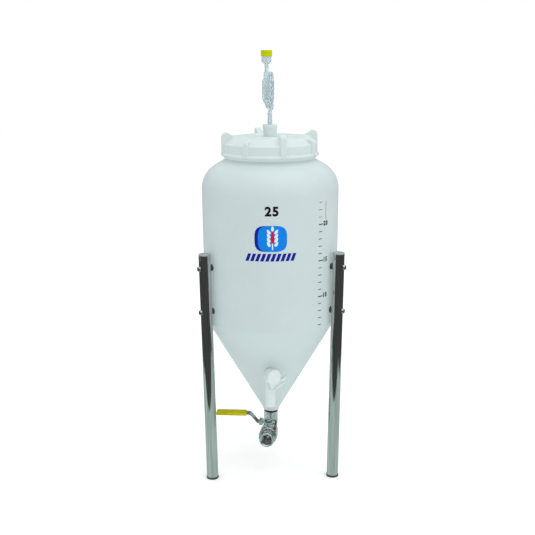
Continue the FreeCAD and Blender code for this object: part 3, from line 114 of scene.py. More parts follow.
# Tap, drain and ball valve
TAP_YAW, TAP_HEIGHT, TAP_HOLE = -91.0, 247.5, 10.4
GASKET_BORE, GASKET_EDGE, GASKET_BULGE = 13.2, 15.2, 15.8
VALVE_YAW, VALVE_DISTANCE, FLOW_HEIGHT = -97.0, 52.0, 90.2
OUTLET_THREAD = {"depth": 1.0, "root": 1.6, "crest": 0.3, "pitch": 1.81, "turns": 8, "height": 19.5}
OUTLET_BORE = 12.25
LEVER_TURN = -87.5
LEVER_HEIGHT, LEVER_RISE, LEVER_PLATE = 28.5, 19.5, 2.5
LEVER_REACH, LEVER_WIDTH = 113.5, 19.0
HUB_RADIUS, EYE_RADIUS = 11.5, 4.5
BEND_START, BEND_END = 24.0, 40.0
GRIP_START, GRIP_END = 48.5, 115.5
GRIP_HALF_WIDTH, GRIP_HALF_HEIGHT = 11.5, 4.1


def frame_at(yaw, distance, height, lean=0.0, turn=0.0):
    """Matrix of a part's own frame: out along a direction round the tank's axis, at a height."""
    out = Matrix.Rotation(radians(yaw), 4, "Z")
    spin = Matrix.Rotation(radians(turn), 4, "Z") @ Matrix.Rotation(radians(lean), 4, "Y")
    return out @ Matrix.Translation((distance, 0, height)) @ spin


VALVE_FRAME = frame_at(VALVE_YAW, VALVE_DISTANCE, FLOW_HEIGHT)
LEVER_FRAME = frame_at(VALVE_YAW, VALVE_DISTANCE, FLOW_HEIGHT, turn=LEVER_TURN)
CAP_FRAME = frame_at(AIRLOCK_YAW, CHAMBER_PITCH, 0)
Z_TO_X = Matrix.Rotation(pi / 2, 4, "Y")


# ---------------------------------------------------------------- mesh helpers

def shade(obj, sharp_angle=35.0):
    """Shade smooth, with edges kept sharp over an angle."""
    mesh = obj.data
    mesh.polygons.foreach_set("use_smooth", [True] * len(mesh.polygons))
    mesh.set_sharp_from_angle(angle=radians(sharp_angle))


def piece(name, work, place=Matrix.Identity(4), sharp_angle=35.0):
    """Turn mesh work, in millimetres and in its own frame, into an object in the shared frame."""
    bmesh.ops.transform(work, matrix=Matrix.Scale(MM, 4) @ place, verts=work.verts)
    bmesh.ops.recalc_face_normals(work, faces=work.faces)
    mesh = bpy.data.meshes.new(name)
    work.to_mesh(mesh)
    work.free()
    obj = bpy.data.objects.new(name, mesh)
    bpy.context.scene.collection.objects.link(obj)
    shade(obj, sharp_angle)
    return obj


def apply_modifiers(obj):
    """Fix an object's modifiers into its mesh."""
    bpy.context.view_layer.update()
    graph = bpy.context.evaluated_depsgraph_get()
    mesh = bpy.data.meshes.new_from_object(obj.evaluated_get(graph))
    before = obj.data
    obj.modifiers.clear()
    obj.data = mesh
    bpy.data.meshes.remove(before)
    mesh.name = obj.name


def rounded(corners, radius, steps=4):
    """A closed outline with its corners rounded; a corner's third value is its own radius."""
    line = []
    for index, corner in enumerate(corners):
        here = Vector(corner[:2])
        back = Vector(corners[index - 1][:2]) - here
        onward = Vector(corners[(index + 1) % len(corners)][:2]) - here
        size = corner[2] if len(corner) > 2 else radius
        if here.x < 1e-6 or size <= 0 or back.angle(onward) > radians(176):
            line.append(tuple(here))
            continue
        half = back.angle(onward) / 2
        reach = min(size / tan(half), 0.48 * back.length, 0.48 * onward.length)
        size = reach * tan(half)
        centre = here + (back.normalized() + onward.normalized()).normalized() * (size / sin(half))
        start = here + back.normalized() * reach - centre
        stop = here + onward.normalized() * reach - centre
        first = atan2(start.y, start.x)
        swing = (atan2(stop.y, stop.x) - first + pi) % (2 * pi) - pi
        for step in range(steps + 1):
            angle = first + swing * step / steps
            line.append((centre.x + size * cos(angle), centre.y + size * sin(angle)))
    return line


def arc(centre, radius, first, last, steps):
    """Points of an arc between two angles in degrees."""
    angles = [radians(first + (last - first) * step / steps) for step in range(steps + 1)]
    return [(centre[0] + radius * cos(angle), centre[1] + radius * sin(angle)) for angle in angles]


def turned(outline_at, segments=128):
    """Mesh work turned round Z; outline_at(angle) is its closed outline of radius and height."""
    work = bmesh.new()
    rings = []
    for segment in range(segments):
        angle = 2 * pi * segment / segments
        rings.append([work.verts.new((radius * cos(angle), radius * sin(angle), height))
                      for radius, height in outline_at(angle)])
    for segment, ring in enumerate(rings):
        following = rings[(segment + 1) % segments]
        for index in range(len(ring)):
            after = (index + 1) % len(ring)
            work.faces.new((ring[index], following[index], following[after], ring[after]))
    bmesh.ops.remove_doubles(work, verts=work.verts, dist=1e-4)
    return work


def lathe(corners, radius=0.4, segments=128, steps=4):
    """Mesh work of an outline of radius and height with rounded corners, turned round Z."""
    line = rounded(corners, radius, steps)
    return turned(lambda angle: line, segments)


def rod(radius, low, high, segments=48):
    """Mesh work of a plain round bar along Z."""
    return lathe([(0, low), (radius, low), (radius, high), (0, high)], 0, segments)


def ridge(radius, outward, depth, root, crest, pitch, turns, height):
    """Mesh work of a thread ridge that climbs round Z, stands outwards (1) or inwards (-1) from a
    wall and fades in and out at its ends."""
    steps_a_turn, ends, sink = 96, 10, 0.6
    sections = []
    count = int(turns * steps_a_turn)
    for step in range(count + 1):
        share = step / count
        angle = 2 * pi * turns * share
        middle = height + pitch * turns * share
        fade = min(1.0, share * turns * ends, (1 - share) * turns * ends)
        low, high = radius - sink * outward, radius + depth * fade * outward
        corners = [(low, middle - root / 2), (high, middle - crest / 2),
                   (high, middle + crest / 2), (low, middle + root / 2)]
        sections.append([(r * cos(angle), r * sin(angle), z) for r, z in corners])
    return loft(sections)


def prism(corners, low, high):
    """Mesh work: a closed outline in the XY plane, pulled up between two heights."""
    work = bmesh.new()
    bottom = [work.verts.new((x, y, low)) for x, y in corners]
    top = [work.verts.new((x, y, high)) for x, y in corners]
    work.faces.new(bottom[::-1])
    work.faces.new(top)
    for index in range(len(corners)):
        after = (index + 1) % len(corners)
        work.faces.new((bottom[index], bottom[after], top[after], top[index]))
    return work


def loft(sections):
    """Mesh work: a closed skin through rings of points, shut at both ends."""
    work = bmesh.new()
    rings = [[work.verts.new(point) for point in ring] for ring in sections]
    for here, onward in zip(rings, rings[1:]):
        for index in range(len(here)):
            after = (index + 1) % len(here)
            work.faces.new((here[index], here[after], onward[after], onward[index]))
    work.faces.new(rings[0])
    work.faces.new(rings[-1])
    return work


def join(work, other, place=Matrix.Identity(4)):
    """Add mesh work to other mesh work."""
    bmesh.ops.transform(other, matrix=place, verts=other.verts)
    scrap = bpy.data.meshes.new("scrap")
    other.to_mesh(scrap)
    other.free()
    work.from_mesh(scrap)
    bpy.data.meshes.remove(scrap)
    return work


def from_cad(node):
    """Mesh work that copies a CAD node, in millimetres and in the shared frame."""
    work = bmesh.new()
    work.from_mesh(NODES[node].data)
    bmesh.ops.scale(work, vec=(1 / MM,) * 3, verts=work.verts)
    bmesh.ops.remove_doubles(work, verts=work.verts, dist=1e-3)
    return work


def mould(obj, voxel, passes, share):
    """Melt a piece into one skin with softened edges, as if moulded or cast, then thin its mesh."""
    remesh = obj.modifiers.new("Skin", "REMESH")
    remesh.mode = "VOXEL"
    remesh.voxel_size = voxel * MM
    smooth = obj.modifiers.new("Soften", "SMOOTH")
    smooth.factor = 0.5
    smooth.iterations = passes
    thin = obj.modifiers.new("Thin", "DECIMATE")
    thin.ratio = share
    apply_modifiers(obj)
    shade(obj, 50)
    return obj


def carve(obj, tool):
    """Cut a tool object out of a piece and remove the tool."""
    cut = obj.modifiers.new("Cut", "BOOLEAN")
    cut.operation = "DIFFERENCE"
    cut.solver = "EXACT"
    cut.object = tool
    apply_modifiers(obj)
    bpy.data.objects.remove(tool)
    shade(obj)


def drill(obj, radius, place, start, length):
    """Bore a round hole in a piece, along X of a frame."""
    carve(obj, piece("Drill", rod(radius, start, start + length), place @ Z_TO_X))


# ---------------------------------------------------------------- materials

def material(name, colour, roughness, metallic=0.0, mottle=0.04, mottle_size=30.0, grain=0.0,
             grain_size=1.0, streaks=(1, 1, 1), rough_swing=0.06, **sockets):
    """A principled material whose colour, roughness and relief vary over the surface.
    mottle is the swing of its colour, grain the height of its relief in millimetres, the sizes
    are in millimetres, and streaks stretches the pattern by squeezing each of its axes."""
    made = bpy.data.materials.new(name)
    made.use_nodes = True
    tree = made.node_tree
    shader = tree.nodes["Principled BSDF"]
    place = tree.nodes.new("ShaderNodeTexCoord")
    stretch = tree.nodes.new("ShaderNodeMapping")
    stretch.inputs["Scale"].default_value = streaks
    tree.links.new(place.outputs["Object"], stretch.inputs["Vector"])

    def noise(size, detail, rough=0.55):
        node = tree.nodes.new("ShaderNodeTexNoise")
        node.inputs["Scale"].default_value = 1 / (size * MM)
        node.inputs["Detail"].default_value = detail
        node.inputs["Roughness"].default_value = rough
        tree.links.new(stretch.outputs["Vector"], node.inputs["Vector"])
        return node.outputs["Fac"]

    def remap(source, low, high):
        node = tree.nodes.new("ShaderNodeMapRange")
        node.inputs["From Min"].default_value = 0.3
        node.inputs["From Max"].default_value = 0.7
        node.inputs["To Min"].default_value = low
        node.inputs["To Max"].default_value = high
        tree.links.new(source, node.inputs["Value"])
        return node.outputs["Result"]

    ramp = tree.nodes.new("ShaderNodeValToRGB")
    low_tone = [channel * (1 - mottle) for channel in colour]
    ramp.color_ramp.elements[0].position = 0.35
    ramp.color_ramp.elements[0].color = (*low_tone, 1)
    ramp.color_ramp.elements[1].position = 0.65
    high_tone = [min(1.0, channel * (1 + mottle)) for channel in colour]
    ramp.color_ramp.elements[1].color = (*high_tone, 1)
    tree.links.new(noise(mottle_size, 3), ramp.inputs["Fac"])
    tree.links.new(ramp.outputs["Color"], shader.inputs["Base Color"])
    gloss = remap(noise(mottle_size * 0.4, 4), max(0.02, roughness - rough_swing),
                  roughness + rough_swing)
    tree.links.new(gloss, shader.inputs["Roughness"])
    shader.inputs["Metallic"].default_value = metallic
    if grain:
        bump = tree.nodes.new("ShaderNodeBump")
        bump.inputs["Strength"].default_value = 0.6
        bump.inputs["Distance"].default_value = grain * MM
        tree.links.new(noise(grain_size, 3, 0.6), bump.inputs["Height"])
        tree.links.new(bump.outputs["Normal"], shader.inputs["Normal"])
    for socket, setting in sockets.items():
        shader.inputs[socket.replace("_", " ")].default_value = setting
    return made


FINISHES = {
    "tank_plastic": dict(
        colour=(0.30, 0.351, 0.355), roughness=0.45, mottle=0.02, mottle_size=60,
        grain=0.05, grain_size=5,
        # Emission here is a painted glow, not a lamp: it stands in for light passing through the
        # translucent wall and lifts the shade under the lid and beside the legs
        Emission_Color=(0.565, 0.658, 0.665, 1), Emission_Strength=0.40,
        Subsurface_Weight=0.12, Subsurface_Radius=(0.8, 1.0, 1.0), Subsurface_Scale=0.006),
    "lid_plastic": dict(
        colour=(0.33, 0.38, 0.38), roughness=0.45, mottle=0.02, mottle_size=25,
        grain=0.04, grain_size=2.5,
        # Emission here is a painted glow, not a lamp: it stands in for light passing through the
        # translucent lid and lifts its shade
        Emission_Color=(0.60, 0.71, 0.70, 1), Emission_Strength=0.40,
        Subsurface_Weight=0.12, Subsurface_Radius=(0.8, 1.0, 1.0), Subsurface_Scale=0.005),
    "bung_silicone": dict(
        colour=(0.58, 0.66, 0.665), roughness=0.5, mottle=0.03, mottle_size=8,
        grain=0.03, grain_size=0.8,
        Subsurface_Weight=0.2, Subsurface_Radius=(0.8, 1.0, 1.0), Subsurface_Scale=0.004),
    "clear_plastic": dict(
        colour=(0.76, 0.86, 0.89), roughness=0.22, mottle=0.02, mottle_size=12, rough_swing=0.04,
        Transmission_Weight=0.75, IOR=1.40),
    "cap_plastic": dict(
        colour=(0.42, 0.47, 0.0005), roughness=0.50, mottle=0.05, mottle_size=5,
        grain=0.03, grain_size=0.8, Specular_IOR_Level=0.05),
    "polished_steel": dict(
        colour=(0.53, 0.54, 0.53), roughness=0.10, metallic=1.0, mottle=0.14, mottle_size=3.5,
        grain=0.006, grain_size=0.9, streaks=(1, 1, 0.03), rough_swing=0.05),
    "plug_plastic": dict(
        colour=(0.28, 0.335, 0.33), roughness=0.35, mottle=0.04, mottle_size=5,
        grain=0.03, grain_size=0.7),
    "foot_rubber": dict(
        colour=(0.035, 0.036, 0.036), roughness=0.62, mottle=0.25, mottle_size=4,
        grain=0.05, grain_size=0.6),
    "fastener_steel": dict(
        colour=(0.48, 0.53, 0.54), roughness=0.22, metallic=1.0, mottle=0.10, mottle_size=2,
        grain=0.02, grain_size=0.35),
    "seal_rubber": dict(
        colour=(0.012, 0.013, 0.013), roughness=0.55, mottle=0.2, mottle_size=3,
        grain=0.04, grain_size=0.5),
    "tap_plastic": dict(
        colour=(0.58, 0.66, 0.655), roughness=0.38, mottle=0.03, mottle_size=6,
        grain=0.03, grain_size=1.0,
        Subsurface_Weight=0.1, Subsurface_Radius=(1.0, 1.0, 1.0), Subsurface_Scale=0.003),
    "tap_seal_rubber": dict(
        colour=(0.42, 0.47, 0.46), roughness=0.55, mottle=0.06, mottle_size=4,
        grain=0.03, grain_size=0.5),
    "red_rubber": dict(
        colour=(0.06, 0.006, 0.008), roughness=0.5, mottle=0.15, mottle_size=4,
        grain=0.04, grain_size=0.6),
    "cast_steel": dict(
        colour=(0.62, 0.66, 0.655), roughness=0.24, metallic=1.0, mottle=0.32, mottle_size=3.5,
        grain=0.10, grain_size=0.9, rough_swing=0.12),
    "seat_plastic": dict(
        colour=(0.80, 0.80, 0.78), roughness=0.35, mottle=0.03, mottle_size=3,
        grain=0.01, grain_size=0.5),
    "lever_steel": dict(
        colour=(0.52, 0.57, 0.57), roughness=0.24, metallic=1.0, mottle=0.12, mottle_size=5,
        grain=0.02, grain_size=0.5, streaks=(0.25, 1, 1), rough_swing=0.10),
    "grip_vinyl": dict(
        colour=(0.47, 0.43, 0.001), roughness=0.45, mottle=0.08, mottle_size=7,
        grain=0.05, grain_size=0.9, Specular_IOR_Level=0.1),
    "print_black": dict(
        colour=(0.004, 0.005, 0.005), roughness=0.6, mottle=0.2, mottle_size=3,
        Specular_IOR_Level=0.1),
    "print_red": dict(
        colour=(0.45, 0.008, 0.03), roughness=0.6, mottle=0.1, mottle_size=3,
        Specular_IOR_Level=0.1),
    "print_blue": dict(
        colour=(0.001, 0.18, 0.64), roughness=0.6, mottle=0.08, mottle_size=4,
        Specular_IOR_Level=0.1),
    "print_navy": dict(
        colour=(0.004, 0.008, 0.26), roughness=0.6, mottle=0.1, mottle_size=4,
        Specular_IOR_Level=0.1),
    "print_white": dict(
        colour=(0.62, 0.68, 0.70), roughness=0.6, mottle=0.04, mottle_size=4),
}
MATERIALS = {name: material(name, **finish) for name, finish in FINISHES.items()}


def dress(obj, paint):
    """Give an object one material."""
    obj.data.materials.clear()
    obj.data.materials.append(paint)


def stand_for(obj, body, *nodes):
    """Let a piece stand for CAD nodes that share one finish, on the body that they ride on."""
    slot = SLOT_OF[nodes[0]]
    dress(obj, MATERIALS[slot])
    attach(obj, body)
    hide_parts(*nodes)


def moulded(name, node, body, voxel, passes, share):
    """A moulded or cast piece, softened from its CAD node and riding on a body."""
    stand_for(mould(piece(name, from_cad(node)), voxel, passes, share), body, node)


# ---------------------------------------------------------------- tank, lid and airlock

def wall_radius(height):
    """Outside radius of the tank's nearly upright wall at a height."""
    share = (height - WAIST_HEIGHT) / (SHOULDER_HEIGHT - WAIST_HEIGHT)
    return WAIST_RADIUS + (TANK_RADIUS - WAIST_RADIUS) * share


def neck_base(shoulder, neck):
    """Height at which the shoulder's straight end meets the neck, for two radii of one skin."""
    turn = radians(SHOULDER_TURN)
    reach = TANK_RADIUS - SHOULDER_RADIUS + shoulder * cos(turn) - neck
    return SHOULDER_HEIGHT + shoulder * sin(turn) + reach / tan(turn)


def make_tank():
    """One wall from the outlet up the outside, over the rim and down the inside, with its holes."""
    slope = (WAIST_RADIUS - COLLAR_RADIUS) / (WAIST_HEIGHT - CONE_FOOT)
    stretch = hypot(1, slope)
    wall_across = WALL * stretch
    inner_foot = CONE_FOOT + (OUTLET_RADIUS - COLLAR_RADIUS + wall_across) / slope
    centre = (TANK_RADIUS - SHOULDER_RADIUS, SHOULDER_HEIGHT)
    inner_shoulder, inner_neck = SHOULDER_RADIUS - WALL, NECK_RADIUS - WALL
    bands = 24
    shares = [step / bands for step in range(1, bands)]
    wall_heights = [WAIST_HEIGHT + (SHOULDER_HEIGHT - WAIST_HEIGHT) * share for share in shares]
    cone_heights = [CONE_FOOT + (WAIST_HEIGHT - CONE_FOOT) * share for share in shares]

    corners = [(OUTLET_RADIUS, OUTLET_LOW), (COLLAR_RADIUS, OUTLET_LOW, 1.5),
               (COLLAR_RADIUS, CONE_FOOT, 2)]
    corners += [(COLLAR_RADIUS + slope * (z - CONE_FOOT), z) for z in cone_heights]
    corners += [(WAIST_RADIUS, WAIST_HEIGHT, 9)]
    corners += [(wall_radius(z), z) for z in wall_heights]
    corners += arc(centre, SHOULDER_RADIUS, 0, SHOULDER_TURN, bands)
    corners += [(NECK_RADIUS, neck_base(SHOULDER_RADIUS, NECK_RADIUS), 3), (NECK_RADIUS, RIM_HEIGHT),
                (inner_neck, RIM_HEIGHT), (inner_neck, neck_base(inner_shoulder, inner_neck), 4)]
    corners += arc(centre, inner_shoulder, 0, SHOULDER_TURN, bands)[::-1]
    corners += [(wall_radius(z) - WALL, z) for z in reversed(wall_heights)]
    corners += [(WAIST_RADIUS - WALL, WAIST_HEIGHT, 7)]
    corners += [(COLLAR_RADIUS - wall_across + slope * (z - CONE_FOOT), z)
                for z in reversed(cone_heights) if z > inner_foot + stretch]
    corners += [(OUTLET_RADIUS, inner_foot)]

    tank = piece("Tank", lathe(corners, 0.8, 256, 6))
    for azimuth in LEG_AZIMUTHS.values():
        for height in BOLT_HEIGHTS:
            drill(tank, BOLT_RADIUS + 0.25, frame_at(azimuth, 0, height), start=120, length=40)
    drill(tank, TAP_HOLE, frame_at(TAP_YAW, 0, TAP_HEIGHT), start=50, length=60)
    stand_for(tank, "stand", "tank")
    stand_for(piece("NeckThread", ridge(NECK_RADIUS, 1, **NECK_THREAD)), "stand", "tank")


def make_bung():
    bung = lathe([(BUNG_BORE, BUNG_LOW.z), (BUNG_FOOT, BUNG_LOW.z), (BUNG_HEAD, BUNG_HIGH.z),
                  (BUNG_BORE, BUNG_HIGH.z)], 0.9, 96)
    stand_for(piece("Bung", bung), "bung", "bung")


def make_airlock_cap():
    """Push-on cap with four small vents in its top."""
    cap = piece("AirlockCap", lathe([
        (CAP_SKIRT, CAP_LOW.z), (CAP_RADIUS, CAP_LOW.z), (CAP_RADIUS, CAP_HIGH.z, 1.2), (0, CAP_HIGH.z),
        (0, CAP_UNDERSIDE), (CAP_SKIRT, CAP_UNDERSIDE)], 0.3, 96), CAP_FRAME)
    for turn in range(4):
        place = frame_at(AIRLOCK_YAW, CHAMBER_PITCH, 0, turn=90 * turn)
        vent = rod(VENT_RADIUS, CAP_UNDERSIDE - 4.3, CAP_HIGH.z + 3, 24)
        carve(cap, piece("VentTool", vent, place @ Matrix.Translation((VENT_DISTANCE, 0, 0))))
    stand_for(cap, "airlock_cap", "airlock_cap")


make_tank()
moulded("Lid", "lid", "lid", voxel=0.7, passes=12, share=0.4)
make_bung()
moulded("AirlockBody", "airlock_body", "airlock", voxel=0.3, passes=8, share=0.5)
make_airlock_cap()


# ---------------------------------------------------------------- print on the tank

def wrap(work, azimuth, height):
    """Bend flat mesh work, X right and Y up, round the tank's wall."""
    for vertex in work.verts:
        level = height + vertex.co.y
        radius = wall_radius(level)
        angle = radians(azimuth) + vertex.co.x / radius
        radius += vertex.co.z
        vertex.co = (radius * cos(angle), radius * sin(angle), level)


def flat_pieces(outlines, layer=0):
    """Mesh work of thin flat shapes; layer counts the prints that lie under them."""
    work = bmesh.new()
    for corners in outlines:
        join(work, prism(corners, INK_LOW + INK_LAYER * layer, INK_HIGH + INK_LAYER * layer))
    return work


def cut_fine(work, longest=4.0):
    """Split long edges so that a flat shape can be bent."""
    def long_edges():
        return [edge for edge in work.edges if edge.calc_length() > longest]

    for _ in range(6):
        if not long_edges():
            return
        bmesh.ops.triangulate(work, faces=work.faces)
        bmesh.ops.subdivide_edges(work, edges=long_edges(), cuts=1)


def strip(left, middle, width, height):
    """Outline of an upright rectangle."""
    return [(left, middle - height / 2), (left + width, middle - height / 2),
            (left + width, middle + height / 2), (left, middle + height / 2)]


def number(text, height, weight):
    """Mesh work of a number, centred, with its digits of a given height."""
    digit_share = 0.73
    curve = bpy.data.curves.new("Digits", "FONT")
    curve.body = text
    curve.align_x = "CENTER"
    curve.size = height / digit_share
    curve.offset = weight
    curve.space_character = 1.18
    curve.extrude = (INK_HIGH - INK_LOW) / 2
    curve.resolution_u = 6
    holder = bpy.data.objects.new("Digits", curve)
    bpy.context.scene.collection.objects.link(holder)
    bpy.context.view_layer.update()
    graph = bpy.context.evaluated_depsgraph_get()
    mesh = bpy.data.meshes.new_from_object(holder.evaluated_get(graph))
    work = bmesh.new()
    work.from_mesh(mesh)
    bpy.data.objects.remove(holder)
    bpy.data.curves.remove(curve)
    bpy.data.meshes.remove(mesh)
    bmesh.ops.remove_doubles(work, verts=work.verts, dist=1e-4)
    low = min(vertex.co.y for vertex in work.verts)
    high = max(vertex.co.y for vertex in work.verts)
    bmesh.ops.translate(work, vec=(0, -(low + high) / 2, 0), verts=work.verts)
    return work


def print_piece(name, work, azimuth, height, ink):
    """Put flat mesh work on the tank as a thin layer of ink."""
    cut_fine(work)
    wrap(work, azimuth, height)
    obj = piece(name, work)
    dress(obj, MATERIALS[ink])
    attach(obj, "stand")


def make_scale():
    """Litre scale on the right of the tank: black ticks and numbers, red above 20."""
    rise = {mark: height - LITRE_HEIGHT[6] for mark, height in LITRE_HEIGHT.items()}
    black = [strip(0, rise[mark], *(TICK if mark % 5 else LONG_TICK)) for mark in range(6, 21)]
    red = [strip(0, rise[mark], *RED_TICK) for mark in range(21, 24)]
    red.append(strip(21, (rise[23] + rise[21]) / 2 - 2.5, 1.3, 38))
    print_piece("ScaleTicks", flat_pieces(black), SCALE_AZIMUTH, LITRE_HEIGHT[6], "print_black")
    print_piece("ScaleRedZone", flat_pieces(red), SCALE_AZIMUTH, LITRE_HEIGHT[6], "print_red")
    for mark in (10, 15, 20):
        digits = number(str(mark), 9.5, 0.6)
        bmesh.ops.translate(digits, vec=(21.5, 1, 0), verts=digits.verts)
        print_piece(f"Number{mark}", digits, SCALE_AZIMUTH, LITRE_HEIGHT[mark], "print_black")
    print_piece("CapacityNumber", number("25", 18.8, 1.2), CAPACITY_AZIMUTH, CAPACITY_HEIGHT,
                "print_black")


def grain_shape(x, y, lean, length, width):
    """A barley grain: an almond that leans out from the stalk."""
    points = []
    for step in range(24):
        angle = 2 * pi * step / 24
        along = length / 2 * cos(angle)
        across = width / 2 * sin(angle) * (1 - 0.3 * cos(angle))
        points.append((x + along * sin(lean) + across * cos(lean),
                       y + along * cos(lean) - across * sin(lean)))
    return points


def soft_power(value, power):
    """A power of a sine or cosine that keeps its sign, for outlines between a disc and a box."""
    return abs(value) ** power * (1 if value > 0 else -1)


def badge_outline(shift, half_width, half_height, steps=64):
    """A disc with slightly flattened sides."""
    angles = [2 * pi * step / steps for step in range(steps)]
    return [(shift + half_width * soft_power(cos(angle), 0.6), half_height * soft_power(sin(angle), 0.6))
            for angle in angles]


def make_emblem():
    """A blue badge with a barley ear over a row of slanted blocks, in place of any mark."""
    spot = EMBLEM_AZIMUTH, EMBLEM_HEIGHT
    middle = BADGE_SHIFT
    grains = [grain_shape(middle + side * 8, row * GRAIN_PITCH - 11, side * 0.55, 11, 5.8)
              for row in range(GRAIN_ROWS) for side in (-1, 1)]
    grains += [grain_shape(middle, GRAIN_ROWS * GRAIN_PITCH - 13, 0, 10.5, 5.6),
               strip(middle - 1.2, -16, 2.4, 14)]
    stalk = grain_shape(middle, 3, 0, 26, 7.5)
    print_piece("EmblemShade", flat_pieces([badge_outline(-middle, *BADGE_HALF)]), *spot, "print_navy")
    print_piece("EmblemBadge", flat_pieces([badge_outline(middle, *BADGE_HALF)], 1), *spot, "print_blue")
    print_piece("EmblemGrains", flat_pieces(grains, 2), *spot, "print_white")
    print_piece("EmblemStalk", flat_pieces([stalk], 3), *spot, "print_red")
    first = -50.5
    blocks = [[(x - BLOCK_SLANT, -BLOCK_RISE), (x + BLOCK_WIDTH - BLOCK_SLANT, -BLOCK_RISE),
               (x + BLOCK_WIDTH + BLOCK_SLANT, BLOCK_RISE), (x + BLOCK_SLANT, BLOCK_RISE)]
              for x in [first + BLOCK_PITCH * index for index in range(BLOCK_COUNT)]]
    print_piece("EmblemBlocks", flat_pieces(blocks), EMBLEM_AZIMUTH, BLOCKS_HEIGHT, "print_navy")


make_scale()
make_emblem()


# ---------------------------------------------------------------- legs

def make_leg(side, azimuth):
    """A tube that leans outwards, with its end plug and its rubber foot."""
    place = frame_at(azimuth, LEG_FOOT_CIRCLE, 0, lean=LEG_LEAN)
    inside = LEG_RADIUS - LEG_WALL
    tube = piece("Leg" + side.title(), lathe([
        (inside, LEG_LOW), (LEG_RADIUS, LEG_LOW), (LEG_RADIUS, LEG_HIGH), (inside, LEG_HIGH)],
        0.35, 96), place)
    for height in BOLT_HEIGHTS:
        crossing = place @ Matrix.Translation((0, 0, height))
        drill(tube, BOLT_RADIUS + 0.55, crossing, start=-20, length=40)
    stand_for(tube, "stand", "leg_" + side)
    plug_low, plug_high = LEG_HIGH - PLUG_DEPTH, LEG_HIGH + PLUG_CAP
    plug = piece("EndPlug" + side.title(), lathe([
        (0, plug_low), (inside - 1, plug_low), (inside, plug_low + 2), (inside, LEG_HIGH, 0),
        (LEG_RADIUS, LEG_HIGH), (LEG_RADIUS, plug_high, 1.2), (0, plug_high)], 0.4, 96), place)
    stand_for(plug, "stand", "end_plug_" + side)
    foot_high = LEG_LOW + FOOT_DEPTH
    foot = piece("Foot" + side.title(), lathe([
        (0, FOOT_GROUND), (FOOT_RADIUS - 1.6, FOOT_GROUND), (FOOT_RADIUS, FOOT_GROUND + 1.7),
        (FOOT_RADIUS, LEG_LOW), (inside, LEG_LOW, 0), (inside, foot_high - 2), (inside - 1, foot_high),
        (0, foot_high)], 0.5, 96), place)
    stand_for(foot, "stand", "foot_" + side)


def make_bolt(azimuth, height):
    """Mesh work of a dome-headed bolt with a hexagon socket, through leg, spacer and tank wall."""
    seat = LEG_FOOT_CIRCLE + height * tan(radians(LEG_LEAN)) + LEG_RADIUS + 0.2
    start = wall_radius(height) - WALL - 11
    bolt = piece("Bolt", lathe([
        (0, start), (BOLT_RADIUS - 0.8, start), (BOLT_RADIUS, start + 0.8), (BOLT_RADIUS, seat, 0.2),
        (HEAD_RADIUS, seat), (HEAD_RADIUS, seat + 2.0), (HEAD_RADIUS - 1.2, seat + 3.8, 1.5),
        (0, seat + HEAD_HEIGHT)], 0.35, 64))
    socket = [(SOCKET_RADIUS * cos(pi / 3 * k), SOCKET_RADIUS * sin(pi / 3 * k)) for k in range(6)]
    carve(bolt, piece("Socket", prism(socket, seat + 1.6, seat + 6)))
    work = bmesh.new()
    work.from_mesh(bolt.data)
    bpy.data.objects.remove(bolt)
    bmesh.ops.scale(work, vec=(1 / MM,) * 3, verts=work.verts)
    bmesh.ops.transform(work, matrix=frame_at(azimuth, 0, height) @ Z_TO_X, verts=work.verts)
    return work


def make_bolts():
    work = bmesh.new()
    for azimuth in LEG_AZIMUTHS.values():
        for height in BOLT_HEIGHTS:
            join(work, make_bolt(azimuth, height))
    stand_for(piece("LegBolts", work), "stand", "leg_bolts")


for leg_side, leg_azimuth in LEG_AZIMUTHS.items():
    make_leg(leg_side, leg_azimuth)
make_bolts()
moulded("LegSpacers", "leg_spacers", "stand", voxel=0.35, passes=2, share=0.4)


# ---------------------------------------------------------------- tap

moulded("TapBody", "tap_body", "stand", voxel=0.4, passes=5, share=0.4)
moulded("TapKnob", "tap_knob", "tap_knob", voxel=0.3, passes=4, share=0.4)
moulded("TapSeal", "tap_seal", "stand", voxel=0.35, passes=3, share=0.5)


# ---------------------------------------------------------------- drain and ball valve

def make_gasket():
    """Rubber ring under the cone, squeezed a little outwards."""
    low, high = GASKET_LOW.z, GASKET_HIGH.z
    gasket = lathe([(GASKET_BORE, low), (GASKET_EDGE, low), (GASKET_BULGE, (low + high) / 2),
                    (GASKET_EDGE, high), (GASKET_BORE, high)], 0.8, 96)
    stand_for(piece("DrainGasket", gasket), "stand", "drain_gasket")


def hex_nut(name, node, flats, hole):
    """A hexagon nut on the valve's stem, with its corners turned down at both faces."""
    low, high = (corner.z - FLOW_HEIGHT for corner in span(node))
    inner = flats / 2 * 0.96

    def outline_at(angle):
        corner = (angle + pi / 6) % (pi / 3) - pi / 6
        outer = flats / 2 / cos(corner)
        drop = (outer - inner) * tan(radians(30))
        return [(hole, low), (inner, low), (outer, low + drop), (outer, high - drop), (inner, high),
                (hole, high)]

    place = VALVE_FRAME @ Matrix.Rotation(radians(15), 4, "Z")
    return piece(name, turned(outline_at, 96), place, 25)


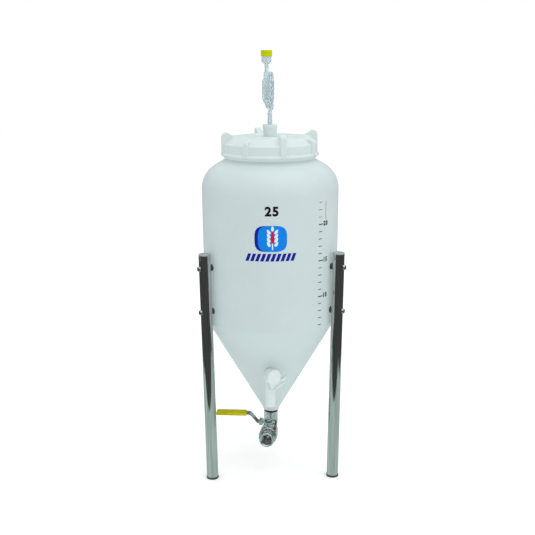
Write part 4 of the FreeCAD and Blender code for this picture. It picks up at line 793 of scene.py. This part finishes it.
def make_lever():
    """Pressed strip: round hub, rising neck with rounded bends, flat end under the grip."""
    low, high = LEVER_HEIGHT, LEVER_HEIGHT + LEVER_RISE
    shift = 50
    bends = [(0, low, 0), (BEND_START, low, 1.5), (BEND_END, high, 8.5), (LEVER_REACH, high, 0.6),
             (LEVER_REACH, high + LEVER_PLATE, 0.6), (BEND_END - 0.7, high + LEVER_PLATE, 6),
             (BEND_START - 0.7, low + LEVER_PLATE, 0.3), (0, low + LEVER_PLATE, 0)]
    side = rounded([(x + shift, z, r) for x, z, r in bends], 0, 8)
    plate = prism([(x - shift, z) for x, z in side], -LEVER_WIDTH / 2, LEVER_WIDTH / 2)
    bmesh.ops.rotate(plate, matrix=Matrix.Rotation(pi / 2, 3, "X"), verts=plate.verts)
    join(plate, rod(HUB_RADIUS, low, low + LEVER_PLATE, 96))
    lever = mould(piece("ValveLever", plate, LEVER_FRAME), voxel=0.35, passes=3, share=0.4)
    carve(lever, piece("EyeTool", rod(EYE_RADIUS, low - 2, low + 6), LEVER_FRAME))
    stand_for(lever, "valve_lever", "valve_lever")


def make_grip():
    """Dipped sleeve: soft-cornered, a little fuller at its outer end."""
    middle = LEVER_HEIGHT + LEVER_RISE + LEVER_PLATE / 2
    fullness = ((0, 0.80), (0.008, 0.93), (0.025, 1.0), (0.5, 1.0), (0.9, 1.0), (0.965, 0.97),
                (0.985, 0.90), (0.996, 0.76), (1, 0.55))
    angles = [2 * pi * step / 48 for step in range(48)]
    sections = []
    for share, size in fullness:
        x = GRIP_START + (GRIP_END - GRIP_START) * share
        half_width = GRIP_HALF_WIDTH * (1 - (1 - size) * 0.35)
        sections.append([(x, half_width * soft_power(cos(angle), 0.35),
                          middle + GRIP_HALF_HEIGHT * size * soft_power(sin(angle), 0.5))
                         for angle in angles])
    stand_for(piece("LeverGrip", loft(sections), LEVER_FRAME, 50), "valve_lever", "lever_grip")


make_gasket()
moulded("DrainElbow", "drain_elbow", "stand", voxel=0.4, passes=5, share=0.4)
moulded("ValveBody", "valve_body", "stand", voxel=0.4, passes=4, share=0.5)
moulded("ValveEndCap", "valve_end_cap", "stand", voxel=0.35, passes=3, share=0.5)
stand_for(piece("OutletThread", ridge(OUTLET_BORE, -1, **OUTLET_THREAD), VALVE_FRAME @ Z_TO_X),
          "stand", "valve_end_cap")
stand_for(hex_nut("GlandNut", "gland_nut", flats=17, hole=4.6), "stand", "gland_nut")
stand_for(hex_nut("LeverNut", "lever_nut", flats=13, hole=4.0), "valve_lever", "lever_nut")
make_lever()
make_grip()
moulded("LeverLock", "lever_lock", "lever_lock", voxel=0.2, passes=2, share=0.5)

for name, node in NODES.items():
    dress(node, MATERIALS[SLOT_OF[name]])


# ---------------------------------------------------------------- studio

def stage_material(name, colour, glow_colour, glow):
    """A matt surface that also glows."""
    made = bpy.data.materials.new(name)
    made.use_nodes = True
    shader = made.node_tree.nodes["Principled BSDF"]
    shader.inputs["Base Color"].default_value = (*colour, 1)
    shader.inputs["Roughness"].default_value = 0.9
    shader.inputs["Specular IOR Level"].default_value = 0.0
    shader.inputs["Emission Color"].default_value = (*glow_colour, 1)
    shader.inputs["Emission Strength"].default_value = glow
    return made


def set_on_stage(obj, paint):
    dress(obj, paint)


def ring_card(name, points):
    """An open surface turned round Z through points of radius and height."""
    work = bmesh.new()
    count = 96
    angles = [2 * pi * k / count for k in range(count)]
    rings = [[work.verts.new((r * cos(angle), r * sin(angle), z)) for r, z in points] for angle in angles]
    for k, ring in enumerate(rings):
        after = rings[(k + 1) % count]
        for index in range(len(points) - 1):
            work.faces.new((ring[index], after[index], after[index + 1], ring[index + 1]))
    return piece(name, work)


def flat_card(name, corners):
    """A single open face through its corners."""
    work = bmesh.new()
    work.faces.new([work.verts.new(corner) for corner in corners])
    return piece(name, work)


def flag(card, name, level):
    """Make a card a studio flag: polished metal mirrors it, and nothing else notices it."""
    set_on_stage(card, stage_material(name, (0, 0, 0), level, 1.0))
    card.visible_camera = False
    card.visible_diffuse = False
    card.visible_transmission = False
    card.visible_volume_scatter = False
    card.visible_shadow = False


FLOOR_TONE = (0.93, 0.94, 0.94)
set_on_stage(ring_card("Floor", [(1, 0), (9000, 0)]),
             stage_material("floor_white", FLOOR_TONE, FLOOR_TONE, 0.12))
flag(ring_card("FlagRoom", [(1, 0.5), (2600, 0.5), (2600, 1500)]), "flag_room", (0.075, 0.077, 0.077))
flag(flat_card("FlagTable", [(-760, -300, 1.5), (760, -610, 1.5), (760, 1500, 1.5), (-760, 1500, 1.5)]),
     "flag_table", (0.56, 0.70, 0.66))
flag(flat_card("FlagStrip", [(-2400, -160, 100), (-2400, 160, 100), (-2400, 160, 1480),
                             (-2400, -160, 1480)]),
     "flag_strip", (0.75, 0.85, 0.88))

world = bpy.data.worlds.new("Studio")
bpy.context.scene.world = world
world.use_nodes = True
world.node_tree.nodes["Background"].inputs["Color"].default_value = (1, 1, 1, 1)
world.node_tree.nodes["Background"].inputs["Strength"].default_value = 1.0


def softbox(name, power, size, spot, aim=(0, 0, 0.5)):
    """A rectangular area light at a spot, aimed at a point; the camera doesn't see it."""
    light = bpy.data.lights.new(name, "AREA")
    light.energy = power
    light.shape = "RECTANGLE"
    light.size, light.size_y = size
    obj = bpy.data.objects.new(name, light)
    bpy.context.scene.collection.objects.link(obj)
    obj.location = spot
    obj.rotation_euler = (Vector(aim) - Vector(spot)).to_track_quat("-Z", "Y").to_euler()
    obj.visible_camera = False


softbox("TopBox", power=22, size=(2.2, 2.2), spot=(0.3, -0.4, 2.9))
softbox("RightBox", power=10, size=(1.0, 2.0), spot=(2.2, -1.6, 1.6))

CAMERA_DISTANCE, CAMERA_HEIGHT, CAMERA_LENS, SENSOR_WIDTH = 2.082, 0.934, 65.3, 36
LOOK_DOWN, ROLL, YAW = 12.83, 0.3, 0.115

camera = bpy.data.cameras.new("Camera")
camera.lens = CAMERA_LENS
camera.sensor_width = SENSOR_WIDTH
camera.clip_end = 60
viewer = bpy.data.objects.new("Camera", camera)
bpy.context.scene.collection.objects.link(viewer)
viewer.location = (0, -CAMERA_DISTANCE, CAMERA_HEIGHT)
viewer.rotation_mode = "XYZ"
viewer.rotation_euler = (radians(90 - LOOK_DOWN), radians(ROLL), radians(YAW))
bpy.context.scene.camera = viewer
bpy.context.scene.view_settings.view_transform = "Standard"
